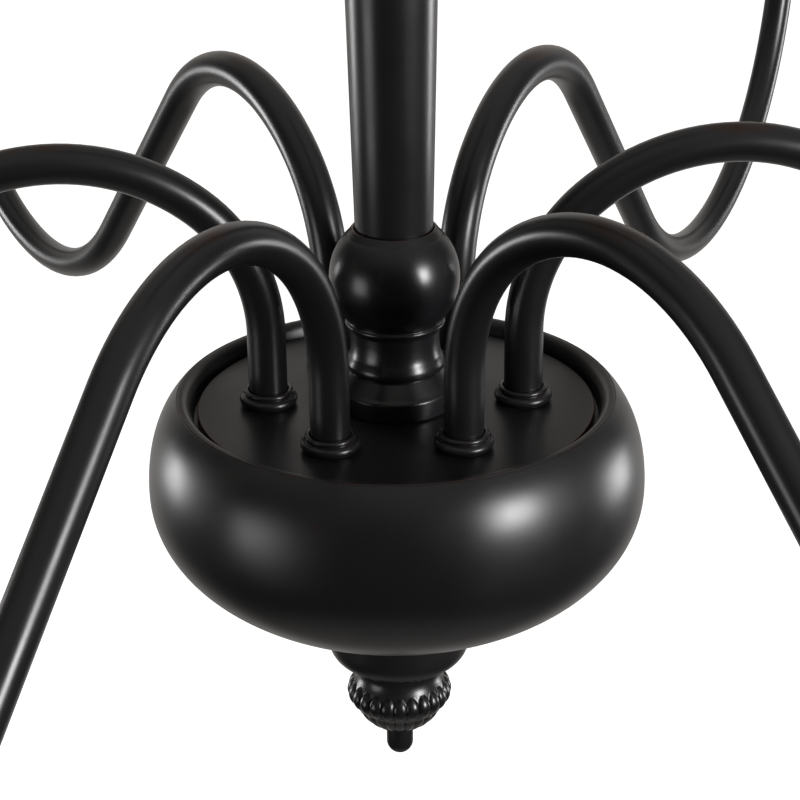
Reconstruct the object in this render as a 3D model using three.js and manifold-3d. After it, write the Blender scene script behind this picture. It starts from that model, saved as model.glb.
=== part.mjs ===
// Multi arm chandelier: six bent tube arms standing on a round hub, a tapered column,
// a short chain and a ceiling canopy. Millimetres, +Z up.
// The origin is on the axis at ceiling level, so everything hangs at negative Z.
import * as THREE from "three";
import { mergeVertices } from "three/addons/utils/BufferGeometryUtils.js";
import Module from "manifold-3d";

const wasm = await Module();
wasm.setup();

// ---------------------------------------------------------------- driving dimensions
const GAP = 0.3; // seating and running clearance between two pieces

// Arm tube
const ARM_COUNT = 6;
const TUBE_OD = 10;
const TUBE_WALL = 1.2;
const FOOT_INSET = 18.4; // middle of a foot from the plate's edge
const ARM_SET = [3, 4, -0.5, 9, 2.5, 5]; // degrees each arm is turned about its foot
const FOOT_RISE = 19.5; // straight tube above the hub plate
const CREST_IN_R = 46; // tighter bend on the hub side of the crest
const CREST_IN_SWEEP = 49;
const CREST_OUT_R = 55.5; // wider bend over and past the crest
const CREST_OUT_SWEEP = 86;
const FALL_LENGTH = 83; // straight run down to the valley
const VALLEY_R = 94.5;
const CUP_RISE = 26; // straight tube at the arm's end
const THREAD_TAIL = 8; // threaded tube end below the lock nut's seat

// Foot collar and arm lock nut
const COLLAR_W = 2.5; // how far each ring stands out from the tube
const COLLAR_STEP_W = 1.2;
const COLLAR_H = 2.4;
const COLLAR_STEP_H = 1.5;
const ARM_NUT_W = 2.5; // from the tube to the nut's flats
const ARM_NUT_H = 4.5;

// Drip cup, candle sleeve and lamp socket
const CUP_R = 21;
const CUP_LIP_RISE = 7;
const CUP_STEM_H = 17;
const CUP_STEM_W = 2; // from the tube to the stem's outside
const CUP_WALL = 1.4;
const SLEEVE_OD = 23;
const SLEEVE_WALL = 1.1;
const SLEEVE_H = 88;
const SOCKET_ROOM = 1.2; // between the socket and the sleeve
const SOCKET_BODY_H = 36;
const SOCKET_MOUTH_R = 6.8; // takes a candelabra lamp cap
const SOCKET_MOUTH_DEPTH = 25;
const SOCKET_STEM_R = 3.5;
const TUBE_STUB = 6; // tube standing above the cup's floor

// Hub plate and bowl
const PLATE_R = 51.4;
const PLATE_T = 2.5;
const PLATE_GAP = 1.2; // shadow gap round the plate
const FLANGE_RUN = 1.9; // the flange leans out this far round the plate
const RIM_LIP = 2.1;
const RIM_RISE = 3.3; // crest of the rim above the plate's top
const BELLY_OUT = 8.4; // belly past the rim's crest
const BELLY_DROP = 21.5; // widest level of the bowl, below the plate's top
const BOWL_DEPTH = 37.9; // from the widest level to the underside
const SHOULDER_RISE = 28.3; // half height of the shoulder's superellipse
const BOWL_POWER = 2.1; // 2 would be an ellipse
const LEDGE_W = 4; // inward ledge that carries the plate
const BOWL_WALL = 1.2;

// Bottom cap, finial and tip
const CAP_R = 19.35;
const CAP_SKIRT = 13.5;
const CAP_DISH = 5.05;
const CAP_POWER = 1.2; // 1 would be a straight chamfer
const CAP_FOOT_R = 12.6;
const FINIAL_H = 20.5;
const FINIAL_NECK_R = 11.7;
const FINIAL_BEAD_R = 14.3;
const FINIAL_END_R = 4.8;
const TIP_R = 3.7;
const TIP_L = 9;
const TIP_STUD_R = 2;
const TIP_STUD_L = 5;

// Baluster and column
const BASE_R = 15.2;
const BASE_H = 5.6;
const GROOVE_R = 11.6;
const GROOVE_Z = 9.4;
const BEAD_R = 12.6;
const BEAD_Z = 11.2;
const NECK_R = 11.3;
const NECK_Z = 16;
const RING_R = 12.75;
const RING_Z = 22.3;
const BALL_R = 16.6;
const BALL_Z = 34.5;
const BALL_TOP_H = 11; // from the ball's centre to the foot of its collar
const BALL_COLLAR_H = 2; // coned collar round the column's foot
const COLUMN_FOOT_R = 9.85;
const COLUMN_TOP_R = 16.7;
const COLUMN_L = 300;
const COLUMN_WALL = 1.2;
const COLUMN_SEAT = 2; // how deep the column's foot sits in the ball

// Column cap and threaded pipe
const TOP_CAP_H = 30;
const TOP_CAP_RIM_W = 2.7; // how far the cap's rim stands out from the column
const TOP_CAP_BALL_R = 11.5;
const TOP_CAP_NECK_R = 7.6;
const PIPE_OD = 9.8;
const PIPE_WALL = 1.9;
const PIPE_NUT_W = 3.6; // from the pipe to the nut's flats
const PIPE_NUT_H = 5;
const WIRE_PORT_R = 2.3; // side holes that let the wires in and out

// Loops, chain and canopy
const LOOP_R = 14; // to the middle of the wire
const LOOP_WIRE = 5;
const LOOP_COLLAR_R = 9;
const LOOP_COLLAR_H = 13;
const LOOP_SINK = 2; // how far the ring is sunk into its collar
const LINK_W = 24;
const LINK_L = 40;
const LINK_WIRE = 4;
const LINK_COUNT = 3;
const CANOPY_R = 63.5;
const CANOPY_DEPTH = 25;
const CANOPY_WALL = 1.2;
const CANOPY_PAD_R = 16;
const CANOPY_RIM_H = 4;
const CROSSBAR_L = 100;
const CROSSBAR_W = 20;
const CROSSBAR_T = 2;
const SLOT_W = 5;
const SLOT_L = 22;
const SLOT_R = 32; // middle of each slot from the axis
const SCREW_R = 2;
const SCREW_HEAD_R = 4;
const SCREW_HEAD_H = 2.2;
const SCREW_OUT = 17;

// Wiring inside the hub
const BUNDLE_INSET = 13; // the bundle's ring inside the circle of feet
const BUNDLE_WIRE = 4.4;
const LEAD_D = 2.6;
const BUNDLE_DROP = 22;
const LEAD_IN_TUBE = 12; // length of each lead inside its arm's foot

// How finely the round shapes are faceted
const TUBE_SIDES = 8;
const BORE_SIDES = 6;
const BEND_STEP = 18; // degrees of bend for each ring of facets
const SMALL_SIDES = 10;
const CUP_SIDES = 12;
const HUB_SIDES = 28;
const TURNED_SIDES = 16;

// ---------------------------------------------------------------- materials
function finish(color, roughness, metalness) {
  return () => new THREE.MeshStandardMaterial({ color, roughness, metalness });
}
const bronze = finish(0x18181a, 0.38, 0.35);
const steel = finish(0x9a9ca0, 0.35, 0.9);
const ivory = finish(0xe9e1cc, 0.6, 0);
const socketBlack = finish(0x202022, 0.5, 0);
const wireWhite = finish(0xd8d8d4, 0.6, 0);

// ---------------------------------------------------------------- shape helpers
const rad = THREE.MathUtils.degToRad;

// Radius of a faceted hole whose flats still clear a round bar of radius r.
function clearHole(r, sides) {
  return (r + GAP) / Math.cos(Math.PI / sides);
}

function polygon(r, sides, turn = 0, x = 0, y = 0) {
  return Array.from({ length: sides }, (_, i) => {
    const a = (2 * Math.PI * i) / sides + turn;
    return new THREE.Vector2(x + r * Math.cos(a), y + r * Math.sin(a));
  });
}

// Points of a circular arc in an (r, z) profile, angles in degrees.
function arc(cr, cz, radius, from, to, count) {
  return Array.from({ length: count + 1 }, (_, i) => {
    const a = rad(from + ((to - from) * i) / count);
    return [cr + radius * Math.cos(a), cz + radius * Math.sin(a)];
  });
}

// Smooth profile through a few (r, z) points.
function smooth(points, count) {
  const curve = new THREE.SplineCurve(points.map((p) => new THREE.Vector2(...p)));
  return curve.getPoints(count).map((p) => [p.x, p.y]);
}

// Turned piece: the (r, z) profile runs up its outside, and +Z is its axis.
function turned(profile, sides) {
  const points = profile.map((p) => new THREE.Vector2(...p));
  const closed = profile[0][0] > 0 ? [...points, points[0]] : points;
  return new THREE.LatheGeometry(closed, sides).rotateX(Math.PI / 2);
}

// Flat piece from an outline with holes, from z = low up to low + height.
function slab(outline, holes, low, height) {
  const shape = new THREE.Shape(outline);
  for (const hole of holes) shape.holes.push(new THREE.Path(hole));
  const options = { depth: height, bevelEnabled: false, steps: 1 };
  return new THREE.ExtrudeGeometry(shape, options).translate(0, 0, low);
}

function hexNut(flats, height, boreR) {
  const outline = polygon(flats / 2 / Math.cos(Math.PI / 6), 6);
  return slab(outline, [polygon(clearHole(boreR, SMALL_SIDES), SMALL_SIDES)], 0, height);
}

function bar(r, from, to, sides) {
  return turned([[0, from], [r, from], [r, to], [0, to]], sides);
}

// Closed oval of round wire in the XZ plane, standing along Z.
function ovalRing(width, length, wire, sides, steps) {
  const ring = new THREE.TorusGeometry((width - wire) / 2, wire / 2, sides, steps);
  ring.rotateZ(Math.PI / steps).rotateX(Math.PI / 2);
  const position = ring.getAttribute("position");
  const half = (length - width) / 2;
  for (let i = 0; i < position.count; i += 1) {
    position.setZ(i, position.getZ(i) + Math.sign(position.getZ(i)) * half);
  }
  return ring;
}

// manifold-3d solid of a three.js geometry, and back.
function solid(geometry) {
  const bare = geometry.index ? geometry.toNonIndexed() : geometry.clone();
  bare.deleteAttribute("normal");
  bare.deleteAttribute("uv");
  const merged = mergeVertices(bare, 1e-3);
  const vertProperties = new Float32Array(merged.getAttribute("position").array);
  const triVerts = new Uint32Array(merged.index.array);
  return new wasm.Manifold(new wasm.Mesh({ numProp: 3, vertProperties, triVerts }));
}

function geometryOf(manifold) {
  const made = manifold.getMesh();
  const geometry = new THREE.BufferGeometry();
  const position = new THREE.BufferAttribute(Float32Array.from(made.vertProperties), 3);
  geometry.setAttribute("position", position);
  geometry.setIndex(Array.from(made.triVerts));
  geometry.computeVertexNormals();
  return geometry;
}

function mesh(name, geometry, material) {
  const made = new THREE.Mesh(geometry, material());
  made.name = name;
  return made;
}

function at(z, ...children) {
  const group = new THREE.Group();
  group.position.z = z;
  group.add(...children);
  return group;
}

// ---------------------------------------------------------------- bent tubes
// A tube path in the XZ plane made of straight legs and bends. A leg is { length } or
// { radius, sweep }, where a positive sweep turns the tube upwards. Each bend is cut into
// steps of its own, so the parameter runs evenly over steps and not over length.
class BentPath extends THREE.Curve {
  constructor(x, z, heading, legs) {
    super();
    this.legs = [];
    this.steps = 0;
    let here = { x, z, heading: rad(heading) };
    for (const leg of legs) {
      const steps = leg.radius ? Math.ceil(Math.abs(leg.sweep) / BEND_STEP) : 1;
      this.legs.push({ ...leg, ...here, first: this.steps, steps });
      this.steps += steps;
      here = this.along(this.legs.at(-1), 1);
    }
    this.end = here;
  }

  along(leg, share) {
    if (!leg.radius) {
      const run = leg.length * share;
      const x = leg.x + run * Math.cos(leg.heading);
      const z = leg.z + run * Math.sin(leg.heading);
      return { x, z, heading: leg.heading };
    }
    const side = Math.sign(leg.sweep);
    const heading = leg.heading + rad(leg.sweep) * share;
    const x = leg.x + side * leg.radius * (Math.sin(heading) - Math.sin(leg.heading));
    const z = leg.z - side * leg.radius * (Math.cos(heading) - Math.cos(leg.heading));
    return { x, z, heading };
  }

  getPoint(t, target = new THREE.Vector3()) {
    const k = t * this.steps;
    const leg = this.legs.findLast((l) => l.first <= k) ?? this.legs[0];
    const { x, z } = this.along(leg, (k - leg.first) / leg.steps);
    return target.set(x, 0, z);
  }

  getUtoTmapping(u) {
    return u;
  }
}

function tubeAlong(path, outer, hole) {
  const shape = new THREE.Shape(outer);
  if (hole) shape.holes.push(new THREE.Path(hole));
  const options = { steps: path.steps, extrudePath: path, bevelEnabled: false };
  return new THREE.ExtrudeGeometry(shape, options);
}

// ---------------------------------------------------------------- arms
const tubeR = TUBE_OD / 2;
const footCircleR = PLATE_R - FOOT_INSET;
const fallAngle = CREST_IN_SWEEP + CREST_OUT_SWEEP - 90;
const nutSeatZ = -PLATE_T - GAP;
const armPath = new BentPath(0, nutSeatZ - THREAD_TAIL, 90, [
  { length: THREAD_TAIL - nutSeatZ + FOOT_RISE },
  { radius: CREST_IN_R, sweep: -CREST_IN_SWEEP },
  { radius: CREST_OUT_R, sweep: -CREST_OUT_SWEEP },
  { length: FALL_LENGTH },
  { radius: VALLEY_R, sweep: fallAngle + 90 },
  { length: CUP_RISE },
]);
const cupFloorZ = armPath.end.z - TUBE_STUB;

function armTube() {
  const outer = polygon(tubeR, TUBE_SIDES, Math.PI / TUBE_SIDES);
  return tubeAlong(armPath, outer, polygon(tubeR - TUBE_WALL, BORE_SIDES));
}

function footCollar() {
  const bore = clearHole(tubeR, SMALL_SIDES);
  const collarR = tubeR + COLLAR_W;
  const top = COLLAR_H + COLLAR_STEP_H;
  const soft = 0.5; // rolled edge of the lower ring
  return turned([
    [bore, 0],
    [collarR - soft, 0],
    [collarR, soft],
    [collarR, COLLAR_H - soft],
    [collarR - soft, COLLAR_H],
    [tubeR + COLLAR_STEP_W, COLLAR_H],
    [tubeR + COLLAR_STEP_W, top],
    [bore, top],
  ], SMALL_SIDES);
}

// The cup's floor is at z = 0, and its stem runs down the tube.
function dripCup() {
  const bore = clearHole(tubeR, CUP_SIDES);
  const floorR = SLEEVE_OD / 2 + 1.5;
  const stemR = tubeR + CUP_STEM_W;
  const underside = [
    [stemR, -CUP_STEM_H],
    [stemR + 1.6, -CUP_STEM_H + 2],
    [stemR, -CUP_STEM_H + 4],
    [stemR + 1.2, -CUP_STEM_H * 0.45],
    [floorR, -CUP_WALL],
    [CUP_R, CUP_LIP_RISE - CUP_WALL],
  ];
  return turned([
    [bore, -CUP_STEM_H],
    ...underside,
    [CUP_R, CUP_LIP_RISE],
    [CUP_R - CUP_WALL, CUP_LIP_RISE],
    [floorR, 0],
    [bore, 0],
  ], CUP_SIDES);
}

function candleSleeve() {
  const r = SLEEVE_OD / 2;
  return turned([
    [r - SLEEVE_WALL, 0],
    [r, 0],
    [r, SLEEVE_H],
    [r - SLEEVE_WALL, SLEEVE_H],
  ], SMALL_SIDES + 2);
}

// The socket's foot caps the tube's end, and a stem lifts its body to the sleeve's top.
function lampSocket() {
  const bore = clearHole(tubeR, SMALL_SIDES);
  const socketR = SLEEVE_OD / 2 - SLEEVE_WALL - SOCKET_ROOM;
  const topZ = SLEEVE_H - 1;
  const bodyZ = topZ - SOCKET_BODY_H;
  const footTop = TUBE_STUB + 2.5;
  const mouthZ = topZ - SOCKET_MOUTH_DEPTH;
  return turned([
    [0, TUBE_STUB + GAP],
    [bore, TUBE_STUB + GAP],
    [bore, 0],
    [bore + 2, 0],
    [bore + 2, footTop - 1.5],
    [SOCKET_STEM_R, footTop],
    [SOCKET_STEM_R, bodyZ],
    [socketR, bodyZ + 4],
    [socketR, topZ],
    [SOCKET_MOUTH_R, topZ],
    [SOCKET_MOUTH_R, mouthZ],
    [0, mouthZ],
  ], SMALL_SIDES);
}

// One arm with everything that turns with it about its foot, which is on the plate's hole.
function arm(number) {
  const group = new THREE.Group();
  const around = (2 * Math.PI * (number - 1)) / ARM_COUNT;
  group.position.set(footCircleR * Math.cos(around), footCircleR * Math.sin(around), 0);
  group.rotation.z = around + rad(ARM_SET[(number - 1) % ARM_SET.length]);
  const nut = hexNut(TUBE_OD + 2 * ARM_NUT_W, ARM_NUT_H, tubeR);
  group.add(mesh(`arm_tube_${number}`, armTube(), bronze));
  group.add(at(GAP, mesh(`foot_collar_${number}`, footCollar(), bronze)));
  group.add(at(nutSeatZ - ARM_NUT_H, mesh(`arm_nut_${number}`, nut, steel)));
  const end = at(cupFloorZ, mesh(`drip_cup_${number}`, dripCup(), bronze));
  end.position.x = armPath.end.x;
  end.add(at(GAP, mesh(`candle_sleeve_${number}`, candleSleeve(), ivory)));
  end.add(at(GAP, mesh(`lamp_socket_${number}`, lampSocket(), socketBlack)));
  group.add(end);
  return group;
}

// ---------------------------------------------------------------- hub
const pipeR = PIPE_OD / 2;
const ledgeTopZ = -PLATE_T - GAP;
const rimR = PLATE_R + PLATE_GAP + FLANGE_RUN; // inner edge of the rim's crest
const bowlR = rimR + RIM_LIP + BELLY_OUT;
const bellyZ = -BELLY_DROP;

function superellipse(share, power = BOWL_POWER) {
  return Math.max(0, 1 - share ** power) ** (1 / power);
}

// The shoulder's run is what brings it to the rim's crest at the rim's level.
const shoulderRun = BELLY_OUT / (1 - superellipse((RIM_RISE - bellyZ) / SHOULDER_RISE));

// Radius of the bowl's shoulder at a level, with its skin moved in by inset.
function shoulderR(z, inset) {
  const out = superellipse((z - bellyZ) / (SHOULDER_RISE - inset));
  return bowlR - shoulderRun + (shoulderRun - inset) * out;
}

// Level of the bowl's underside at a radius.
function undersideZ(r, inset) {
  return bellyZ - (BOWL_DEPTH - inset) * superellipse(r / (bowlR - inset));
}

function bowlSkin(inset, fromR, toZ) {
  const lower = 6;
  const upper = 4;
  const points = [];
  for (let i = 0; i <= lower; i += 1) {
    const share = Math.sin((Math.PI / 2) * (i / lower));
    const r = fromR + (bowlR - inset - fromR) * share;
    points.push([r, undersideZ(r, inset)]);
  }
  for (let i = 1; i <= upper; i += 1) {
    const z = bellyZ + (toZ - bellyZ) * (i / upper);
    points.push([shoulderR(z, inset), z]);
  }
  return points;
}

const bowlHoleR = clearHole(pipeR, HUB_SIDES);

// Level at which a flat piece that reaches to radius r sits on the bowl's faceted inside.
function bowlSeatZ(r) {
  const reach = r / Math.cos(Math.PI / HUB_SIDES);
  const skin = bowlSkin(BOWL_WALL, bowlHoleR, RIM_RISE);
  const next = skin.findIndex((point) => point[0] >= reach);
  const [[r0, z0], [r1, z1]] = [skin[next - 1], skin[next]];
  return z0 + ((z1 - z0) * (reach - r0)) / (r1 - r0) + GAP;
}

function hubBowl() {
  const flangeFootR = PLATE_R + PLATE_GAP;
  const outer = bowlSkin(0, bowlHoleR, RIM_RISE);
  const innerTopZ = RIM_RISE - 2 * BOWL_WALL;
  const inner = bowlSkin(BOWL_WALL, bowlHoleR, innerTopZ).reverse();
  return turned([
    ...outer,
    [rimR, RIM_RISE],
    [flangeFootR, ledgeTopZ],
    [PLATE_R - LEDGE_W, ledgeTopZ],
    [PLATE_R - LEDGE_W, ledgeTopZ - BOWL_WALL],
    [flangeFootR + BOWL_WALL, ledgeTopZ - BOWL_WALL],
    ...inner,
  ], HUB_SIDES);
}

function hubPlate() {
  const armHoleR = clearHole(tubeR, SMALL_SIDES);
  const holes = Array.from({ length: ARM_COUNT }, (_, i) => {
    const a = (2 * Math.PI * i) / ARM_COUNT;
    const x = footCircleR * Math.cos(a);
    return polygon(armHoleR, SMALL_SIDES, 0, x, footCircleR * Math.sin(a));
  });
  holes.push(polygon(clearHole(pipeR, SMALL_SIDES), SMALL_SIDES));
  return slab(polygon(PLATE_R, HUB_SIDES), holes, -PLATE_T, PLATE_T);
}

// Deep cup under the bowl; its rim meets the bowl's underside.
const capTopZ = undersideZ(CAP_R, 0) - GAP;
const capFootZ = capTopZ - CAP_SKIRT - CAP_DISH;
function bottomCap() {
  const bore = clearHole(pipeR, TURNED_SIDES);
  const dish = [0, 0.25, 0.5, 0.75, 1].map((up) => [
    CAP_FOOT_R + (CAP_R - CAP_FOOT_R) * superellipse(1 - up, CAP_POWER),
    capFootZ + up * CAP_DISH,
  ]);
  const thick = 1.6;
  return turned([
    [bore, capFootZ],
    ...dish,
    [CAP_R, capTopZ],
    [CAP_R - thick, capTopZ - 1],
    [CAP_R - thick, capTopZ - CAP_SKIRT],
    [CAP_FOOT_R, capFootZ + 2 * thick],
    [bore, capFootZ + 2 * thick],
  ], TURNED_SIDES);
}

// The finial screws on the pipe's end from below; its top is at z = 0.
const finialTopZ = capFootZ - GAP;
const finialBoreDepth = FINIAL_H * 0.6;
function finial() {
  const bore = clearHole(pipeR, TURNED_SIDES);
  const studBore = clearHole(TIP_STUD_R, TURNED_SIDES);
  const side = smooth([
    [FINIAL_END_R, -FINIAL_H],
    [9.5, -FINIAL_H * 0.82],
    [12.6, -FINIAL_H * 0.62],
    [FINIAL_BEAD_R, -FINIAL_H * 0.46],
    [13.4, -FINIAL_H * 0.3],
    [FINIAL_NECK_R, -FINIAL_H * 0.12],
    [FINIAL_NECK_R, 0],
  ], 12);
  return turned([
    [0, -FINIAL_H + TIP_STUD_L + GAP],
    [studBore, -FINIAL_H + TIP_STUD_L + GAP],
    [studBore, -FINIAL_H],
    ...side,
    [bore, 0],
    [bore, -finialBoreDepth],
    [0, -finialBoreDepth],
  ], TURNED_SIDES);
}

// Round-ended knob on a stud; its shoulder is at z = 0.
function finialTip() {
  const round = arc(0, -TIP_L + TIP_R, TIP_R, -90, 0, 4);
  round[0][0] = 0;
  return turned([
    ...round,
    [TIP_R, 0],
    [TIP_STUD_R, 0],
    [TIP_STUD_R, TIP_STUD_L],
    [0, TIP_STUD_L],
  ], SMALL_SIDES);
}

// ---------------------------------------------------------------- baluster and column
const lipZ = BALL_Z + BALL_TOP_H + BALL_COLLAR_H;
const columnFootZ = lipZ - COLUMN_SEAT;
const columnTopZ = columnFootZ + COLUMN_L;

function baluster() {
  const bore = clearHole(pipeR, TURNED_SIDES);
  const seatR = clearHole(COLUMN_FOOT_R, TURNED_SIDES);
  const ballFrom = THREE.MathUtils.radToDeg(Math.asin((RING_Z + 1.2 - BALL_Z) / BALL_R));
  const ballTo = THREE.MathUtils.radToDeg(Math.asin(BALL_TOP_H / BALL_R));
  return turned([
    [bore, 0],
    [BASE_R, 0],
    [BASE_R, BASE_H - 0.8],
    [BASE_R - 0.8, BASE_H],
    [GROOVE_R, GROOVE_Z],
    ...smooth([[GROOVE_R + 0.5, GROOVE_Z + 0.4], [BEAD_R, BEAD_Z], [NECK_R, NECK_Z]], 4),
    [RING_R - 0.6, RING_Z - 0.7],
    [RING_R, RING_Z],
    ...arc(0, BALL_Z, BALL_R, ballFrom, ballTo, 6),
    [seatR + 0.4, lipZ],
    [seatR, lipZ],
    [seatR, columnFootZ - GAP],
    [bore, columnFootZ - GAP],
  ], TURNED_SIDES);
}

function column() {
  return turned([
    [COLUMN_FOOT_R - COLUMN_WALL, 0],
    [COLUMN_FOOT_R, 0],
    [COLUMN_TOP_R, COLUMN_L],
    [COLUMN_TOP_R - COLUMN_WALL, COLUMN_L],
  ], TURNED_SIDES);
}

function columnCap() {
  const bore = clearHole(pipeR, TURNED_SIDES);
  const capRimR = COLUMN_TOP_R + TOP_CAP_RIM_W;
  const ballZ = TOP_CAP_H - TOP_CAP_BALL_R;
  return turned([
    [bore, 0],
    [capRimR - 0.8, 0],
    [capRimR, 0.8],
    [capRimR, 3.2],
    [capRimR - 0.8, 4],
    ...smooth([[COLUMN_TOP_R - 0.5, 4.4], [10.8, 6.2], [8.8, 9]], 3),
    ...arc(0, ballZ, TOP_CAP_BALL_R, -35, 46, 6),
    [TOP_CAP_NECK_R, TOP_CAP_H - 1.4],
    [TOP_CAP_NECK_R, TOP_CAP_H],
    [bore, TOP_CAP_H],
  ], TURNED_SIDES);
}

// ---------------------------------------------------------------- loops and chain
const loopWireR = LOOP_WIRE / 2;
const loopInnerR = LOOP_R - loopWireR;
const ringToCollar = LOOP_R + loopWireR - LOOP_SINK; // ring's middle to its collar's end
const collarBoreDepth = LOOP_COLLAR_H - 3;

// Ring standing on a bored collar; the collar's open end is at z = 0 and the ring is above.
function collarLoop(withPort) {
  const ringWidth = 2 * (LOOP_R + loopWireR);
  const ring = ovalRing(ringWidth, ringWidth, LOOP_WIRE, 6, 14);
  ring.translate(0, 0, LOOP_COLLAR_H + ringToCollar);
  const bore = clearHole(pipeR, SMALL_SIDES);
  const soft = 1;
  const collar = turned([
    [0, collarBoreDepth],
    [bore, collarBoreDepth],
    [bore, 0],
    [LOOP_COLLAR_R, 0],
    [LOOP_COLLAR_R, LOOP_COLLAR_H - 4],
    [LOOP_COLLAR_R - soft, LOOP_COLLAR_H - 2],
    [LOOP_COLLAR_R - 4 * soft, LOOP_COLLAR_H],
    [0, LOOP_COLLAR_H],
  ], TURNED_SIDES);
  const joined = solid(ring).add(solid(collar));
  if (!withPort) return geometryOf(joined);
  const port = bar(WIRE_PORT_R, 0, LOOP_COLLAR_R + 1, SMALL_SIDES);
  port.rotateX(-Math.PI / 2).translate(0, 0, collarBoreDepth - WIRE_PORT_R - 0.4);
  return geometryOf(joined.subtract(solid(port)));
}

const linkInner = LINK_L / 2 - LINK_WIRE;
function chainLink() {
  return ovalRing(LINK_W, LINK_L, LINK_WIRE, 6, 14);
}

// ---------------------------------------------------------------- canopy and crossbar
function canopy() {
  const bore = clearHole(pipeR, HUB_SIDES);
  const domeR = CANOPY_R - 3;
  const skin = (inset) => {
    const top = -CANOPY_RIM_H;
    const drop = CANOPY_DEPTH - inset - CANOPY_RIM_H;
    return arc(0, 0, 1, -90, 0, 4).map(([c, s]) => [
      CANOPY_PAD_R + (domeR - inset - CANOPY_PAD_R) * c,
      top + drop * s,
    ]);
  };
  return turned([
    [bore, -CANOPY_DEPTH],
    ...skin(0),
    [CANOPY_R, -CANOPY_RIM_H],
    [CANOPY_R, 0],
    [CANOPY_R - CANOPY_WALL, 0],
    [CANOPY_R - CANOPY_WALL, -CANOPY_RIM_H + CANOPY_WALL],
    [domeR - CANOPY_WALL, -CANOPY_RIM_H + CANOPY_WALL],
    ...skin(CANOPY_WALL).reverse(),
    [bore, -CANOPY_DEPTH + CANOPY_WALL],
  ], HUB_SIDES);
}

function crossbar() {
  const l = CROSSBAR_L / 2;
  const w = CROSSBAR_W / 2;
  const corner = 3;
  const outline = [
    [-l + corner, -w], [l - corner, -w], [l, -w + corner], [l, w - corner],
    [l - corner, w], [-l + corner, w], [-l, w - corner], [-l, -w + corner],
  ].map((p) => new THREE.Vector2(...p));
  const slot = (x) => {
    const r = SLOT_W / 2;
    const run = SLOT_L / 2 - r;
    const ends = [...arc(x + run, 0, r, -90, 90, 4), ...arc(x - run, 0, r, 90, 270, 4)];
    return ends.map((p) => new THREE.Vector2(...p));
  };
  const holes = [
    polygon(clearHole(pipeR, SMALL_SIDES), SMALL_SIDES),
    slot(SLOT_R),
    slot(-SLOT_R),
    polygon(clearHole(SCREW_R, SMALL_SIDES), SMALL_SIDES, 0, SCREW_OUT, 0),
  ];
  return slab(outline, holes, -CROSSBAR_T, CROSSBAR_T);
}

// Earth screw with its head down, under the crossbar.
function groundScrew() {
  const shankTop = -0.2;
  const seat = -CROSSBAR_T - GAP;
  return turned([
    [0, seat - SCREW_HEAD_H],
    [SCREW_HEAD_R - 0.8, seat - SCREW_HEAD_H],
    [SCREW_HEAD_R, seat - 0.8],
    [SCREW_HEAD_R, seat],
    [SCREW_R, seat],
    [SCREW_R, shankTop],
    [0, shankTop],
  ], SMALL_SIDES);
}

function pipe(from, to, portZ) {
  const tube = turned([
    [pipeR - PIPE_WALL, from],
    [pipeR, from],
    [pipeR, to],
    [pipeR - PIPE_WALL, to],
  ], SMALL_SIDES);
  if (portZ === undefined) return tube;
  const port = bar(WIRE_PORT_R, 0, PIPE_OD, SMALL_SIDES);
  port.rotateY(Math.PI / 2).translate(0, 0, portZ);
  return geometryOf(solid(tube).subtract(solid(port)));
}

// ---------------------------------------------------------------- wiring in the hub
// A ring of bundled wires round the pipe, a lead up into each arm and one into the pipe.
function hubHarness() {
  const z = -BUNDLE_DROP;
  const bundleR = footCircleR - BUNDLE_INSET;
  const ring = new THREE.TorusGeometry(bundleR, BUNDLE_WIRE / 2, 5, 14).translate(0, 0, z);
  let joined = solid(ring);
  const bend = BUNDLE_INSET * 0.8;
  const rise = BUNDLE_DROP - bend + nutSeatZ - THREAD_TAIL + LEAD_IN_TUBE;
  const leadPath = new BentPath(bundleR, z, 0, [
    { length: BUNDLE_INSET - bend },
    { radius: bend, sweep: 90 },
    { length: rise },
  ]);
  for (let i = 0; i < ARM_COUNT; i += 1) {
    const lead = tubeAlong(leadPath, polygon(LEAD_D / 2, BORE_SIDES));
    joined = joined.add(solid(lead.rotateZ((2 * Math.PI * i) / ARM_COUNT)));
  }
  const feed = bar(LEAD_D / 2, 0, bundleR, BORE_SIDES).rotateY(Math.PI / 2);
  return geometryOf(joined.add(solid(feed.translate(0, 0, z))));
}

// ---------------------------------------------------------------- levels, top down
const loopCollarTopZ = -CANOPY_DEPTH - GAP;
const canopyRingZ = loopCollarTopZ - LOOP_COLLAR_H - ringToCollar;
const linkZ = [canopyRingZ - loopInnerR + GAP - linkInner];
for (let i = 1; i < LINK_COUNT; i += 1) linkZ.push(linkZ[i - 1] - 2 * linkInner + GAP);
const topRingZ = linkZ.at(-1) - linkInner + GAP - loopInnerR;
const topCollarZ = topRingZ - ringToCollar - LOOP_COLLAR_H;
const columnCapZ = topCollarZ - GAP - TOP_CAP_H;
const hubZ = columnCapZ - 2 * GAP - columnTopZ;

function ceilingFixture() {
  const group = new THREE.Group();
  const loop = collarLoop(false).rotateX(Math.PI);
  const nippleLow = loopCollarTopZ - collarBoreDepth + GAP;
  const nut = hexNut(PIPE_OD + 2 * PIPE_NUT_W, PIPE_NUT_H, pipeR);
  group.add(mesh("crossbar", crossbar(), steel));
  group.add(mesh("canopy_nipple", pipe(nippleLow, -GAP), steel));
  group.add(at(-CROSSBAR_T - GAP - PIPE_NUT_H, mesh("nipple_nut", nut, steel)));
  const screw = mesh("ground_screw", groundScrew(), steel);
  screw.position.x = SCREW_OUT;
  group.add(screw);
  group.add(mesh("canopy", canopy(), bronze));
  group.add(at(loopCollarTopZ, mesh("canopy_loop", loop, bronze)));
  return group;
}

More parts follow.
